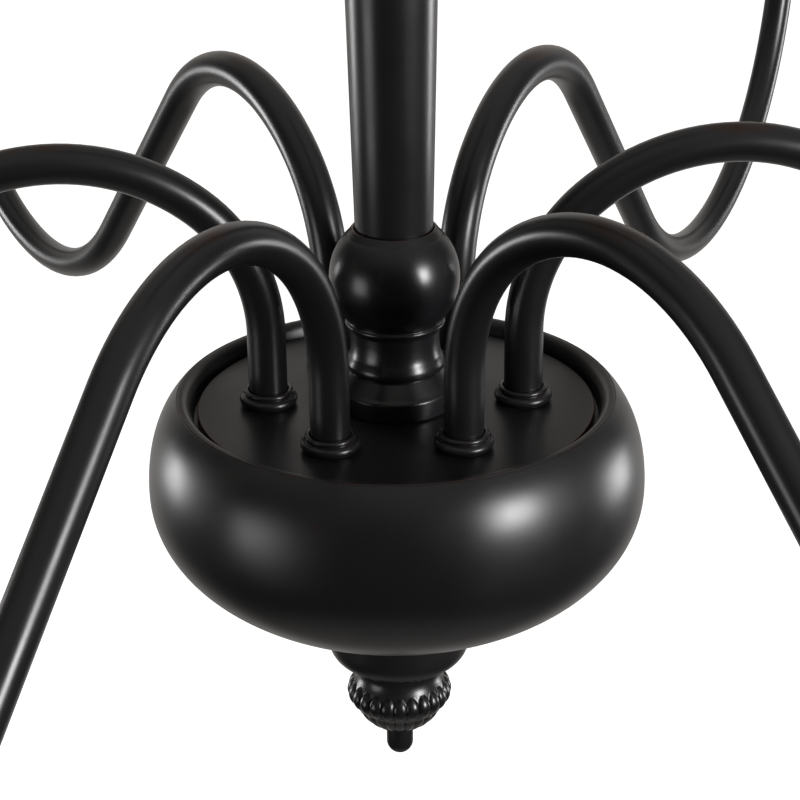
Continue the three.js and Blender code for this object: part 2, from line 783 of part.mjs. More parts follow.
function chain() {
  const group = new THREE.Group();
  linkZ.forEach((z, i) => {
    const link = mesh(`chain_link_${i + 1}`, chainLink(), bronze);
    link.position.z = z;
    if (i % 2 === 0) link.rotation.z = Math.PI / 2; // every other link is turned square
    group.add(link);
  });
  return group;
}

function hub() {
  const group = new THREE.Group();
  const nutFlats = PIPE_OD + 2 * PIPE_NUT_W;
  const nut = () => hexNut(nutFlats, PIPE_NUT_H, pipeR);
  const bowlNutZ = bowlSeatZ(nutFlats / 2 / Math.cos(Math.PI / 6));
  const pipeTop = topCollarZ + collarBoreDepth - 2 * WIRE_PORT_R - 1 - hubZ;
  const pipeLow = finialTopZ - finialBoreDepth + GAP;
  group.add(mesh("hub_plate", hubPlate(), bronze));
  group.add(mesh("hub_bowl", hubBowl(), bronze));
  group.add(mesh("bottom_cap", bottomCap(), bronze));
  group.add(at(finialTopZ, mesh("finial", finial(), bronze)));
  group.add(at(finialTopZ - FINIAL_H - GAP, mesh("finial_tip", finialTip(), bronze)));
  group.add(mesh("threaded_pipe", pipe(pipeLow, pipeTop, -BUNDLE_DROP), steel));
  group.add(at(-PLATE_T - GAP - PIPE_NUT_H, mesh("plate_nut", nut(), steel)));
  group.add(at(bowlNutZ, mesh("bowl_nut", nut(), steel)));
  group.add(mesh("hub_harness", hubHarness(), wireWhite));
  group.add(at(GAP, mesh("baluster", baluster(), bronze)));
  group.add(at(columnFootZ + GAP, mesh("column", column(), bronze)));
  group.add(at(columnCapZ - hubZ, mesh("column_cap", columnCap(), bronze)));
  for (let number = 1; number <= ARM_COUNT; number += 1) group.add(arm(number));
  return group;
}

const chandelier = new THREE.Group();
chandelier.name = "chandelier";
chandelier.add(ceilingFixture(), chain());
const loopAtTop = mesh("top_loop", collarLoop(true), bronze);
chandelier.add(at(topCollarZ, loopAtTop));
chandelier.add(at(hubZ, hub()));

export default chandelier;
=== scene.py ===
# %% [markdown]
# # A six-arm chandelier with a dark rubbed finish
# Six bent tubes stand on a flat plate that closes a spun steel bowl. A turned baluster and
# a tapered column rise from the plate to a cap, a loop, three chain links and a ceiling
# canopy. Under the bowl hang a small dish, a gadrooned finial and a round tip. Each arm
# ends in a drip cup, an ivory candle sleeve and a lamp socket.
# The measured frame comes first. It gives every piece its place and its moving body, and
# the pieces made here are smooth versions of the frame's faceted ones, at the same sizes.

# %% Load the frame
import math

import bmesh
import bpy
from mathutils import Matrix, Vector


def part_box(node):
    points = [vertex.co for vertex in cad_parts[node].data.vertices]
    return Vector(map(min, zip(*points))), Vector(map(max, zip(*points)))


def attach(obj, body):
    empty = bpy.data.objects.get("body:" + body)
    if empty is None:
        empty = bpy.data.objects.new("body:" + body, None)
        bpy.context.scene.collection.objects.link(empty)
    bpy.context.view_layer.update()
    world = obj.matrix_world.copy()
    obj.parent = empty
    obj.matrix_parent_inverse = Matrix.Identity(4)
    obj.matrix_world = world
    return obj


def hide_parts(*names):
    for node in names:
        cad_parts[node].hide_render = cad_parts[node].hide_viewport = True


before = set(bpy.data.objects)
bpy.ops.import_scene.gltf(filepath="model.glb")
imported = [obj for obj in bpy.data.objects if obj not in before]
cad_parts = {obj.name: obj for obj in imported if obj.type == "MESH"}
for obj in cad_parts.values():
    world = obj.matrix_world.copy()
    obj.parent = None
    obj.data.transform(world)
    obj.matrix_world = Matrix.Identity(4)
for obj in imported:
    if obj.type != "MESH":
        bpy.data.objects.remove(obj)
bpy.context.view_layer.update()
MM = 0.001

# %% [markdown]
# ## Helpers for materials
# Finishes are mixed from hex colours as they look on a screen, and Blender wants linear
# light, so one function converts them. Writing node trees by hand is long, so one more
# function adds any node, sets it up and plugs it in. The other two start a finish and turn
# a real size into the scale of a noise.

# %% Colour and node helpers
def linear(hex_colour):
    """sRGB hex to a linear RGBA colour."""
    channels = [int(hex_colour[i:i + 2], 16) / 255 for i in (1, 3, 5)]
    curved = [c / 12.92 if c <= 0.04045 else ((c + 0.055) / 1.055) ** 2.4 for c in channels]
    return (*curved, 1.0)


def add(tree, kind, plugs=None, **settings):
    """Adds a node; plugs gives a socket a value, or links it from another node's output."""
    made = tree.nodes.new("ShaderNode" + kind)
    for name, value in settings.items():
        setattr(made, name, value)
    for socket, value in (plugs or {}).items():
        if isinstance(value, bpy.types.NodeSocket):
            tree.links.new(value, made.inputs[socket])
        else:
            made.inputs[socket].default_value = value
    return made


def new_finish(name, constants):
    """A material with a Principled shader; constants go straight on the shader's sockets."""
    finish = bpy.data.materials.new(name)
    finish.use_nodes = True
    tree = finish.node_tree
    shader = tree.nodes["Principled BSDF"]
    for socket, value in constants.items():
        shader.inputs[socket].default_value = value
    place = add(tree, "TexCoord").outputs["Object"]
    return finish, tree, shader, place


def pattern_scale(size_mm):
    """Noise scale that makes features of about this size, in a space measured in metres."""
    return 1 / (size_mm * MM)


print("helpers ready, #808080 is", round(linear("#808080")[0], 3))

# %% [markdown]
# ## Oil-rubbed bronze lacquer
# The metal is steel, brass-plated on the castings, then coated with a nearly black satin
# lacquer. Before it dries the maker wipes it back on edges and crowns, so the coppery
# brown undercoat shows through there. The black coat is a plain dielectric: it mirrors
# only a few hundredths of the light from straight ahead and much more at a grazing angle,
# which gives the dark body and the pale rims. A metallic shader would be too even.
# Every mesh carries a number called rub at each point, and the finish breaks it up with
# noise so that the wiped places come and go as a cloth would leave them. On the baluster's
# collar the number also paints a coppery reflection at its left and right sides. Spun, tube,
# cast and chain pieces share the recipe, and differ in how smooth the metal was below it.

# %% Bronze lacquer
COAT = "#141416"
UNDERCOAT = "#2e1d15"
# The copper tone also colours the painted reflection on the baluster collar's sides.
COPPER_WEAR_AND_SHEEN = "#5d3a28"
UNDERCOAT_AT = 0.45  # where the undercoat lies between full coat and bare copper
BARE_FROM, BARE_FULL = 0.35, 1.25  # rub values where the coat starts to go and is gone
BREAK_UP = 1.5  # how much the noise shifts the rub value, from lowest to highest
CLOUD_MM, SATIN_SPREAD = 18, 0.035  # the satin clouds up and down by this roughness


def rubbed_bronze(name, satin, peel_mm, peel_depth_mm, wipe_mm):
    """satin is the roughness; the sizes are those of the lacquer's skin and of the wipes."""
    finish, tree, shader, place = new_finish(name, {"Specular IOR Level": 0.5, "IOR": 1.5})
    rub_and_sheen = add(tree, "Attribute", attribute_name="rub_and_sheen").outputs["Fac"]
    wipes = add(tree, "TexNoise", {
        "Vector": place, "Scale": pattern_scale(wipe_mm), "Detail": 4.0, "Roughness": 0.65,
    }).outputs["Fac"]
    broken = add(tree, "Math", {0: wipes, 1: BREAK_UP, 2: -BREAK_UP / 2}, operation="MULTIPLY_ADD")
    bare = add(tree, "Math", {0: rub_and_sheen, 1: broken.outputs[0]}, operation="ADD").outputs[0]
    shown = add(tree, "MapRange", {
        "Value": bare, "From Min": BARE_FROM, "From Max": BARE_FULL, "To Min": 0.0, "To Max": 1.0,
    }, interpolation_type="SMOOTHSTEP").outputs[0]
    colours = add(tree, "ValToRGB", {"Fac": shown})
    ramp = colours.color_ramp.elements
    ramp[0].color = linear(COAT)
    ramp[1].color = linear(COPPER_WEAR_AND_SHEEN)
    ramp.new(UNDERCOAT_AT).color = linear(UNDERCOAT)
    cloud = add(tree, "TexNoise", {
        "Vector": place, "Scale": pattern_scale(CLOUD_MM), "Detail": 3.0,
    }).outputs["Fac"]
    sheen = add(tree, "MapRange", {
        "Value": cloud, "From Min": 0.3, "From Max": 0.7,
        "To Min": satin - SATIN_SPREAD, "To Max": satin + SATIN_SPREAD,
    }).outputs[0]
    peel = add(tree, "TexNoise", {
        "Vector": place, "Scale": pattern_scale(peel_mm), "Detail": 2.0,
    }).outputs["Fac"]
    skin = add(tree, "Bump", {"Height": peel, "Distance": peel_depth_mm * MM, "Strength": 1.0})
    links = tree.links
    links.new(colours.outputs["Color"], shader.inputs["Base Color"])
    links.new(shown, shader.inputs["Metallic"])
    links.new(sheen, shader.inputs["Roughness"])
    links.new(skin.outputs["Normal"], shader.inputs["Normal"])
    return finish


SPUN = rubbed_bronze("oil_rubbed_bronze_spun", satin=0.34, peel_mm=1.6, peel_depth_mm=0.006,
                     wipe_mm=11)
TUBE = rubbed_bronze("oil_rubbed_bronze_tube", satin=0.31, peel_mm=1.4, peel_depth_mm=0.004,
                     wipe_mm=9)
CAST = rubbed_bronze("oil_rubbed_bronze_cast", satin=0.29, peel_mm=0.9, peel_depth_mm=0.007,
                     wipe_mm=5)
CHAIN = rubbed_bronze("oil_rubbed_bronze_chain", satin=0.36, peel_mm=1.1, peel_depth_mm=0.012,
                      wipe_mm=4)
print("bronze finishes", [m.name for m in (SPUN, TUBE, CAST, CHAIN)])

# %% [markdown]
# ## Zinc-plated steel
# Nuts, nipple, pipe, earth screw and crossbar are stock steel with a thin bright zinc
# plating. Zinc dries in faint blue-grey spangles of a millimetre or two and dulls
# unevenly. The long pipe's thread is hidden, so it is not modelled: a wave along the axis
# with the real pitch draws it as bump.

# %% Zinc-plated steel, plain and threaded
SPANGLE_MM, DULLING_MM, THREAD_DEPTH_MM = 1.8, 7, 0.4


def zinc_steel(name, pitch_mm=None):
    finish, tree, shader, place = new_finish(name, {"Metallic": 1.0})
    spangle = add(tree, "TexVoronoi", {
        "Vector": place, "Scale": pattern_scale(SPANGLE_MM), "Randomness": 1.0,
    }).outputs["Color"]
    tone = add(tree, "ValToRGB", {"Fac": spangle})
    tone.color_ramp.elements[0].color = linear("#a9adb0")
    tone.color_ramp.elements[1].color = linear("#c3c4c0")
    dulling = add(tree, "TexNoise", {
        "Vector": place, "Scale": pattern_scale(DULLING_MM), "Detail": 5.0,
    }).outputs["Fac"]
    rough = add(tree, "MapRange", {
        "Value": dulling, "From Min": 0.3, "From Max": 0.7, "To Min": 0.26, "To Max": 0.46,
    })
    tree.links.new(tone.outputs["Color"], shader.inputs["Base Color"])
    tree.links.new(rough.outputs[0], shader.inputs["Roughness"])
    if pitch_mm:
        # A wave texture at scale 1 repeats every 2 pi / 20 of a unit.
        wave_scale = 2 * math.pi / 20 / (pitch_mm * MM)
        thread = add(tree, "TexWave", {"Vector": place, "Scale": wave_scale, "Distortion": 0.0},
                     bands_direction="Z", wave_profile="SIN")
        ridges = add(tree, "Bump", {
            "Height": thread.outputs["Fac"], "Distance": THREAD_DEPTH_MM * MM,
        })
        tree.links.new(ridges.outputs["Normal"], shader.inputs["Normal"])
    return finish


ZINC = zinc_steel("zinc_plated_steel")
NIPPLE_PITCH = 0.94
ZINC_THREAD = zinc_steel("zinc_plated_steel_thread", pitch_mm=NIPPLE_PITCH)
print("steel finishes", ZINC.name, ZINC_THREAD.name)

# %% [markdown]
# ## Ivory resin, black phenolic, brass and wire jacket
# The candle sleeves are moulded resin tinted to look like beeswax: a warm off-white with a
# faint mottle, soft gloss and light that sinks in a little way. The sockets are pressed
# phenolic, nearly black with fine grey filler specks. The screw shell and contact in each
# socket are drawn brass. The wires wear matt PVC.

# %% Resin, phenolic, brass and PVC
def moulded(name, low_hex, high_hex, mottle_mm, bump_mm, constants):
    """A moulded material: two close tones in a mottle, and a shallow skin of its own."""
    finish, tree, shader, place = new_finish(name, constants)
    mottle = add(tree, "TexNoise", {
        "Vector": place, "Scale": pattern_scale(mottle_mm), "Detail": 5.0, "Roughness": 0.6,
    }).outputs["Fac"]
    tones = add(tree, "ValToRGB", {"Fac": mottle})
    tones.color_ramp.elements[0].position = 0.35
    tones.color_ramp.elements[1].position = 0.65
    tones.color_ramp.elements[0].color = linear(low_hex)
    tones.color_ramp.elements[1].color = linear(high_hex)
    skin = add(tree, "Bump", {"Height": mottle, "Distance": bump_mm * MM})
    tree.links.new(tones.outputs["Color"], shader.inputs["Base Color"])
    tree.links.new(skin.outputs["Normal"], shader.inputs["Normal"])
    return finish


IVORY = moulded("ivory_resin", "#e3d8bd", "#ece4cd", 9, 0.03, {
    "Roughness": 0.42, "Subsurface Weight": 0.15, "Subsurface Radius": (1.0, 0.7, 0.4),
    "Subsurface Scale": 0.002,
})
PHENOLIC = moulded("black_phenolic", "#17171a", "#25252a", 0.8, 0.01, {"Roughness": 0.38})
BRASS = moulded("drawn_brass", "#b8924a", "#c9a560", 3, 0.01, {"Roughness": 0.24, "Metallic": 1.0})
JACKET = moulded("pvc_wire_jacket", "#cfcfca", "#dadad6", 2.5, 0.01, {"Roughness": 0.5})
print("other finishes", [m.name for m in (IVORY, PHENOLIC, BRASS, JACKET)])

# %% [markdown]
# ## The camera
# A long lens looks from a little above the hub, close enough to fill the frame with the
# bowl and the arms' crests. It is set up first so that every piece can be judged in its
# view. The arms' own places say how far the camera is turned about the column, and it
# leans by a fraction of a degree, as a tripod head does.

# %% Camera
plate_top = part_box("hub_plate")[1].z
HEIGHT = math.radians(23.77)
TURN = math.radians(0.55)
ROLL = math.radians(-0.63)
STANDOFF = 553.5 * MM
LENS = 95.9
AIM_ASIDE, AIM_ABOVE_PLATE = 1.04 * MM, 0.25 * MM
aim = Vector((AIM_ASIDE, 0, plate_top + AIM_ABOVE_PLATE))
away = Vector((0, -math.cos(HEIGHT), math.sin(HEIGHT)))
over = Vector((0, math.sin(HEIGHT), math.cos(HEIGHT)))
side = Vector((1, 0, 0))
rolled = math.cos(ROLL) * side + math.sin(ROLL) * over
risen = -math.sin(ROLL) * side + math.cos(ROLL) * over
pose = Matrix((rolled, risen, away)).transposed().to_4x4()
pose.translation = away * STANDOFF
turned_pose = Matrix.Translation(aim) @ Matrix.Rotation(-TURN, 4, "Z") @ pose
camera = bpy.data.objects.new("camera", bpy.data.cameras.new("camera"))
camera.data.sensor_width = 36
camera.data.lens = LENS
camera.data.clip_end = 60
camera.matrix_world = turned_pose
bpy.context.scene.collection.objects.link(camera)
bpy.context.scene.camera = camera
print("camera stands at", [round(c, 3) for c in turned_pose.translation])

# %% [markdown]
# ## Outlines
# Nearly everything here is turned, spun or bent from tube, so it is drawn as an outline
# in millimetres and then swept. Real edges are never razor sharp: a corner of an outline
# may carry a rounding, which catches the thin highlights. Curves that are free-form run
# through a few points with a spline, and balls and rolls are arcs.

# %% Outline helpers
CORNER_STEPS = 4
CORNER_SHARE = 0.48  # a rounding takes at most this much of the sides next to it


def softened(outline):
    """Replaces each corner (r, z, rounding) of a closed outline by a small curve."""
    made = []
    for i, corner in enumerate(outline):
        here = Vector(corner[:2])
        rounding = corner[2] if len(corner) > 2 else 0
        if rounding == 0:
            made.append(tuple(here))
            continue
        before = Vector(outline[i - 1][:2]) - here
        after = Vector(outline[(i + 1) % len(outline)][:2]) - here
        reach = min(rounding, CORNER_SHARE * before.length, CORNER_SHARE * after.length)
        start = here + before.normalized() * reach
        end = here + after.normalized() * reach
        for step in range(CORNER_STEPS + 1):
            t = step / CORNER_STEPS
            made.append(tuple((1 - t) ** 2 * start + 2 * t * (1 - t) * here + t * t * end))
    return made


def spline(points, count):
    """Points of a smooth curve through the given (r, z) points."""
    ends = [points[0], *points, points[-1]]
    made = []
    for a, b, c, d in zip(ends, ends[1:], ends[2:], ends[3:]):
        a, b, c, d = Vector(a), Vector(b), Vector(c), Vector(d)
        for step in range(count):
            t = step / count
            bend = (2 * a - 5 * b + 4 * c - d) * t * t + (3 * b - a - 3 * c + d) * t ** 3
            made.append(tuple(b + ((c - a) * t + bend) / 2))
    return [*made, tuple(points[-1])]


def arc(centre_r, centre_z, radius, start_deg, end_deg, count=16):
    """Points of part of a circle."""
    spread = end_deg - start_deg
    angles = [math.radians(start_deg + spread * i / count) for i in range(count + 1)]
    return [(centre_r + radius * math.cos(a), centre_z + radius * math.sin(a)) for a in angles]


square = [(1, 0, 0.2), (2, 0, 0.2), (2, 1, 0.2), (1, 1, 0.2)]
print("a softened square has", len(softened(square)), "points")

# %% [markdown]
# ## From outlines to closed skins
# One function joins a row of loops into a closed skin, so turned pieces, bent tubes and
# rings all come out of the same few lines and none has a seam or a loose face. It also
# measures how sharply the skin curves outwards at each point and keeps that as the start
# of the rub value, because a wiping cloth presses hardest on edges. A piece can add wiped
# places of its own, such as the crown of an arm.

# %% Skin, turning and bending helpers
WIPED_FROM, WIPED_FULL = 0.3, 1.3  # outward curvature, per mm
EDGE_RUB = 0.75  # the rub value of a fully wiped edge
SHORTEST_EDGE = 1e-4  # mm; shorter edges say nothing about the curve


def wiped_edges(form, extra):
    """Fills the mesh's rub value from its outward curvature and from extra(point in mm)."""
    pull = [0.0] * len(form.vertices)
    count = [0] * len(form.vertices)
    for edge in form.edges:
        a, b = (form.vertices[v] for v in edge.vertices)
        gap = (a.co - b.co) / MM
        if gap.length < SHORTEST_EDGE:
            continue
        for one, line in ((a, gap), (b, -gap)):
            pull[one.index] += 2 * one.normal.dot(line) / line.length_squared
            count[one.index] += 1
    rub_and_sheen = form.attributes.new("rub_and_sheen", "FLOAT", "POINT")
    for v in form.vertices:
        curve = pull[v.index] / max(1, count[v.index])
        share = min(1, max(0, (curve - WIPED_FROM) / (WIPED_FULL - WIPED_FROM)))
        rub_and_sheen.data[v.index].value = EDGE_RUB * share + (extra(v.co / MM) if extra else 0)


def finished_mesh(name, body, extra=None, sharp_deg=50):
    """A bmesh made into a smooth-shaded mesh with its faces outwards and its rub value."""
    bmesh.ops.recalc_face_normals(body, faces=body.faces)
    form = bpy.data.meshes.new(name)
    body.to_mesh(form)
    body.free()
    form.shade_smooth()
    form.set_sharp_from_angle(angle=math.radians(sharp_deg))
    wiped_edges(form, extra)
    return form


def skin(name, loops, closed, extra=None):
    """Joins loops of points in mm; a loop of one point is a pole, closed joins last to first."""
    body = bmesh.new()
    rows = [[body.verts.new(Vector(p) * MM) for p in loop] for loop in loops]
    pairs = list(zip(rows, rows[1:]))
    if closed:
        pairs.append((rows[-1], rows[0]))
    for low, high in pairs:
        sides = max(len(low), len(high))
        for i in range(sides):
            j = (i + 1) % sides
            if len(low) == 1:
                body.faces.new((low[0], high[j], high[i]))
            elif len(high) == 1:
                body.faces.new((low[i], low[j], high[0]))
            else:
                body.faces.new((low[i], low[j], high[j], high[i]))
    return finished_mesh(name, body, extra)


def turned(name, outline, sides=96, shape=None, extra=None):
    """Turns a closed outline round Z; shape(angle, r, z) may carve the radius."""
    loops = []
    for r, z in softened(outline):
        if r < 1e-6:
            loops.append([(0, 0, z)])
            continue
        loop = []
        for i in range(sides):
            a = 2 * math.pi * i / sides
            out = shape(a, r, z) if shape else r
            loop.append((out * math.cos(a), out * math.sin(a), z))
        loops.append(loop)
    return skin(name, loops, closed=len(loops[0]) > 1, extra=extra)


def hoops(line, radii, sides, closed=False):
    """Circles square to a line of (x, z) points; radii is one number, or one per point."""
    count = len(line)
    loops = []
    for i, (x, z) in enumerate(line):
        ahead = line[(i + 1) % count] if closed or i + 1 < count else line[i]
        behind = line[i - 1] if closed or i > 0 else line[i]
        along = Vector((ahead[0] - behind[0], 0, ahead[1] - behind[1])).normalized()
        across = Vector((0, 1, 0))
        outward = across.cross(along)
        radius = radii[i] if isinstance(radii, list) else radii
        angles = [2 * math.pi * k / sides for k in range(sides if radius else 1)]
        loops.append([Vector((x, 0, z)) + radius * (math.cos(a) * across + math.sin(a) * outward)
                      for a in angles])
    return loops


def piece(name, form, finish, body, replaces=(), at=(0, 0, 0), turn=None):
    """Puts a mesh in the frame: at is in mm, and turn is a rotation matrix."""
    made = bpy.data.objects.new(name, form)
    if not form.materials:
        form.materials.append(finish)
    made.matrix_world = Matrix.Translation(Vector(at) * MM) @ (turn or Matrix())
    bpy.context.scene.collection.objects.link(made)
    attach(made, body)
    if replaces:
        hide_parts(*replaces)
    return made


def level(node, end=0):
    """Lowest (0) or highest (1) level of a frame node, in mm."""
    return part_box(node)[end].z / MM


def centre(node):
    """The middle of a frame node's box, in mm."""
    low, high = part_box(node)
    return (low + high) / 2 / MM


print("hub plate's top is at", round(level("hub_plate", 1), 2), "mm")

# %% [markdown]
# ## The hub bowl
# The bowl is spun from steel sheet over a form: a squashed ball whose shoulder rises to a
# rolled rim. A fine step runs round outside the rim, and the sheet turns down inside it to
# a ledge that carries the plate. The curves are superellipses a little flatter than a
# circle, so two formulas give the whole skin inside and out. The lacquer is wiped thin in
# a few places along the shoulder, where a hand holds the bowl.

# %% Hub bowl
PLATE_R, PLATE_T, PLATE_GAP = 51.4, 2.5, 1.2
RIM_R, RIM_RISE, RIM_LIP = 54.5, 3.3, 2.1
BOWL_R, BOWL_DEPTH, BELLY_Z = 65.0, 37.9, -21.5
SHOULDER_RISE, BOWL_POWER, SHEET = 28.3, 2.1, 1.2
STEP_Z, LEDGE_W, SEAT = 3.1, 4, 0.3
PIPE_R, CLEAR = 4.9, 0.3
HOLE_R = PIPE_R + CLEAR
hub_z = plate_top / MM


def superellipse(share):
    """From 1 on the axis down to 0 at the edge."""
    return max(0, 1 - min(1, share) ** BOWL_POWER) ** (1 / BOWL_POWER)


shoulder_run = (BOWL_R - RIM_R - RIM_LIP) / (1 - superellipse((RIM_RISE - BELLY_Z) / SHOULDER_RISE))


def shoulder_r(z, inset):
    """The bowl's radius above the belly, inset by the sheet's thickness inside."""
    out = superellipse((z - BELLY_Z) / (SHOULDER_RISE - inset))
    return BOWL_R - shoulder_run + (shoulder_run - inset) * out


def underside_z(r, inset):
    return BELLY_Z - (BOWL_DEPTH - inset) * superellipse(r / (BOWL_R - inset))


def bowl_skin(inset, from_r, to_z, low_count=40, high_count=24):
    """Outline from the middle hole round the belly and up the shoulder."""
    width = BOWL_R - inset - from_r
    lower = [from_r + width * math.sin(math.pi / 2 * i / low_count) for i in range(low_count + 1)]
    upper = [BELLY_Z + (to_z - BELLY_Z) * i / high_count for i in range(1, high_count + 1)]
    return [(r, underside_z(r, inset)) for r in lower] + [(shoulder_r(z, inset), z) for z in upper]


step_r = shoulder_r(STEP_Z, 0)
throat_r, ledge_r, ledge_z = PLATE_R + PLATE_GAP, PLATE_R - LEDGE_W, -PLATE_T - SEAT
roll = spline([(55.9, 3.28), (55.0, 3.2), (54.1, 2.5), (53.4, 1.2), (52.9, -0.6), (throat_r, -2.3)], 5)
rim = [
    (step_r, STEP_Z, 0.1), (step_r - 0.3, STEP_Z - 0.1, 0.05), (56.3, RIM_RISE, 0.2), *roll,
    (throat_r, ledge_z, 0.2), (ledge_r, ledge_z, 0.2),
    (ledge_r, ledge_z - SHEET, 0.2), (throat_r + SHEET, ledge_z - SHEET, 0.4),
]
outer = bowl_skin(0, HOLE_R, STEP_Z - 0.15)
inner = bowl_skin(SHEET, HOLE_R, RIM_RISE - 2 * SHEET)[::-1]
WORN_AT = (-142, -108, -33, 20, 75, 140)  # degrees round the bowl
WORN_SPREAD = 0.2  # radians
WORN_Z, WORN_HALF_H, WORN_FROM_R, WORN_RUB = -5, 3.2, 56, 0.34


def hand_worn(point):
    """Six thin places along the shoulder."""
    if math.hypot(point.x, point.y) <= WORN_FROM_R:
        return 0
    around = math.atan2(point.y, point.x)
    band = math.exp(-((point.z - WORN_Z) / WORN_HALF_H) ** 2)
    spots = sum(math.exp(-((math.remainder(around - math.radians(a), 2 * math.pi)) / WORN_SPREAD) ** 2)
                for a in WORN_AT)
    return WORN_RUB * band * spots


bowl = turned("hub_bowl_spun", outer + rim + inner, 160, extra=hand_worn)
piece("hub_bowl_spun", bowl, SPUN, "hub", ["hub_bowl"], at=(0, 0, hub_z))
print("bowl", round(2 * BOWL_R, 1), "mm wide,", len(bowl.vertices), "points")

# %% [markdown]
# ## Flat pieces: plate, crossbar and nuts
# The plate, the crossbar and the nuts are flat stock with holes. A filled curve with a
# small bevel does this cleanly: its outline and holes are splines, its thickness is the
# extrusion, and the bevel is the broken edge that a press or file leaves. It is then
# turned into a mesh.

# %% Flat pieces
def ring_points(radius, count=48, x=0.0, y=0.0):
    """A circle of points about (x, y)."""
    angles = [2 * math.pi * i / count for i in range(count)]
    return [(x + radius * math.cos(a), y + radius * math.sin(a)) for a in angles]


def flat_piece(name, outlines, thickness, edge, extra=None):
    """Closed outlines in mm, the first is the rim and the rest are holes; z runs up from 0."""
    curve = bpy.data.curves.new(name, "CURVE")
    curve.dimensions = "2D"
    curve.fill_mode = "BOTH"
    curve.extrude = (thickness / 2 - edge) * MM
    curve.bevel_depth = edge * MM
    curve.bevel_resolution = 2
    curve.offset = -edge * MM
    for outline in outlines:
        line = curve.splines.new("POLY")
        line.points.add(len(outline) - 1)
        for point, (x, y) in zip(line.points, outline):
            point.co = (x * MM, y * MM, thickness / 2 * MM, 1)
        line.use_cyclic_u = True
    holder = bpy.data.objects.new(name, curve)
    form = bpy.data.meshes.new_from_object(holder)
    bpy.data.objects.remove(holder)
    body = bmesh.new()
    body.from_mesh(form)
    bpy.data.meshes.remove(form)
    lift = thickness / 2 * MM - sum(v.co.z for v in body.verts) / len(body.verts)
    bmesh.ops.translate(body, verts=body.verts, vec=(0, 0, lift))
    bmesh.ops.remove_doubles(body, verts=body.verts, dist=1e-6)
    return finished_mesh(name, body, extra, sharp_deg=12)


FOOT_R = PLATE_R - 18.4
TUBE_R = 5
SLEEVED_R = TUBE_R + CLEAR
foot_angles = [math.radians(a) for a in range(0, 360, 60)]
arm_holes = [ring_points(SLEEVED_R, 40, FOOT_R * math.cos(a), FOOT_R * math.sin(a)) for a in foot_angles]
RIM_RUB, RIM_BAND = 0.8, 0.3


def edge_wipe(point):
    """The plate's rim is wiped all round."""
    return RIM_RUB if math.hypot(point.x, point.y) > PLATE_R - RIM_BAND else 0


plate_outlines = [ring_points(PLATE_R, 180), ring_points(HOLE_R), *arm_holes]
plate = flat_piece("hub_plate_pressed", plate_outlines, PLATE_T, 0.35, edge_wipe)
piece("hub_plate_pressed", plate, SPUN, "hub", ["hub_plate"], at=(0, 0, hub_z - PLATE_T))


def hex_nut(name, flats, height, bore_r):
    """A nut with its size across the flats."""
    corner_r = flats / 2 / math.cos(math.pi / 6)
    angles = [math.pi / 3 * i for i in range(6)]
    corners = [(corner_r * math.cos(a), corner_r * math.sin(a)) for a in angles]
    return flat_piece(name, [corners, ring_points(bore_r)], height, 0.4)


big_nut = hex_nut("pipe_nut", 17, 5, HOLE_R)
small_nut = hex_nut("tube_nut", 15, 4.5, SLEEVED_R)
for node, body in (("plate_nut", "hub"), ("bowl_nut", "hub"), ("nipple_nut", "ceiling_fixture")):
    piece(node + "_hex", big_nut, ZINC, body, [node], at=(0, 0, level(node)))

SLOT_X, SLOT_HALF, SLOT_R = 32, 8.5, 2.5
SCREW_X, SCREW_HOLE_R = 17, 2.3
BAR_HALF_L, BAR_HALF_W, BAR_CORNER_R, BAR_T = 50, 10, 3, 2
slots = [arc(x + SLOT_HALF, 0, SLOT_R, -90, 90) + arc(x - SLOT_HALF, 0, SLOT_R, 90, 270)
         for x in (-SLOT_X, SLOT_X)]
corners = [(x * BAR_HALF_L, y * BAR_HALF_W, BAR_CORNER_R)
           for x, y in ((-1, -1), (1, -1), (1, 1), (-1, 1))]
bar_outlines = [softened(corners), ring_points(HOLE_R), ring_points(SCREW_HOLE_R, 24, SCREW_X), *slots]
crossbar = flat_piece("crossbar_stamped", bar_outlines, BAR_T, 0.25)
piece("crossbar_stamped", crossbar, ZINC, "ceiling_fixture", ["crossbar"],
      at=(0, 0, level("crossbar")))
print("points in the plate", len(plate.vertices), "and in the crossbar", len(crossbar.vertices))

# %% [markdown]
# ## Bottom cap, finial and tip
# A shallow dish covers the bowl's hole. Below it a cast finial screws on the pipe: a smooth
# neck swells to a ring of round gadroons, and under them tapered petals close in on the
# end. Both patterns repeat evenly round the axis, so they are carved by moving each
# turned point in or out with the angle. Only the depth changes down the outline. The round
# tip is a separate knob on a stud.

# %% Cap, finial and tip
CAP_R, CAP_SKIRT, CAP_DISH, CAP_FOOT_R, CAP_WALL = 19.35, 13.5, 5.05, 12.6, 1.6
dish = spline([
    (CAP_FOOT_R, 0), (15.3, 1.1), (17.4, 2.6), (18.7, 4.5), (19.25, 6.6), (CAP_R, 9.2), (CAP_R, 12),
], 6)
cap_h, cap_bore_r = CAP_SKIRT + CAP_DISH, CAP_R - CAP_WALL
cap_outline = [
    (HOLE_R, 0.5, 0.2), (CAP_FOOT_R - 1.2, 0.5, 0.3), (CAP_FOOT_R - 0.6, 0, 0.4), *dish,
    (CAP_R, cap_h, 0.5), (cap_bore_r, cap_h - 1, 0.3),
    (cap_bore_r, CAP_DISH, 0.6), (CAP_FOOT_R, 2 * CAP_WALL, 0.6), (HOLE_R, 2 * CAP_WALL, 0.2),
]
cap = turned("bottom_cap_spun", cap_outline, 96)
piece("bottom_cap_spun", cap, SPUN, "hub", ["bottom_cap"],
      at=(0, 0, level("bottom_cap")))

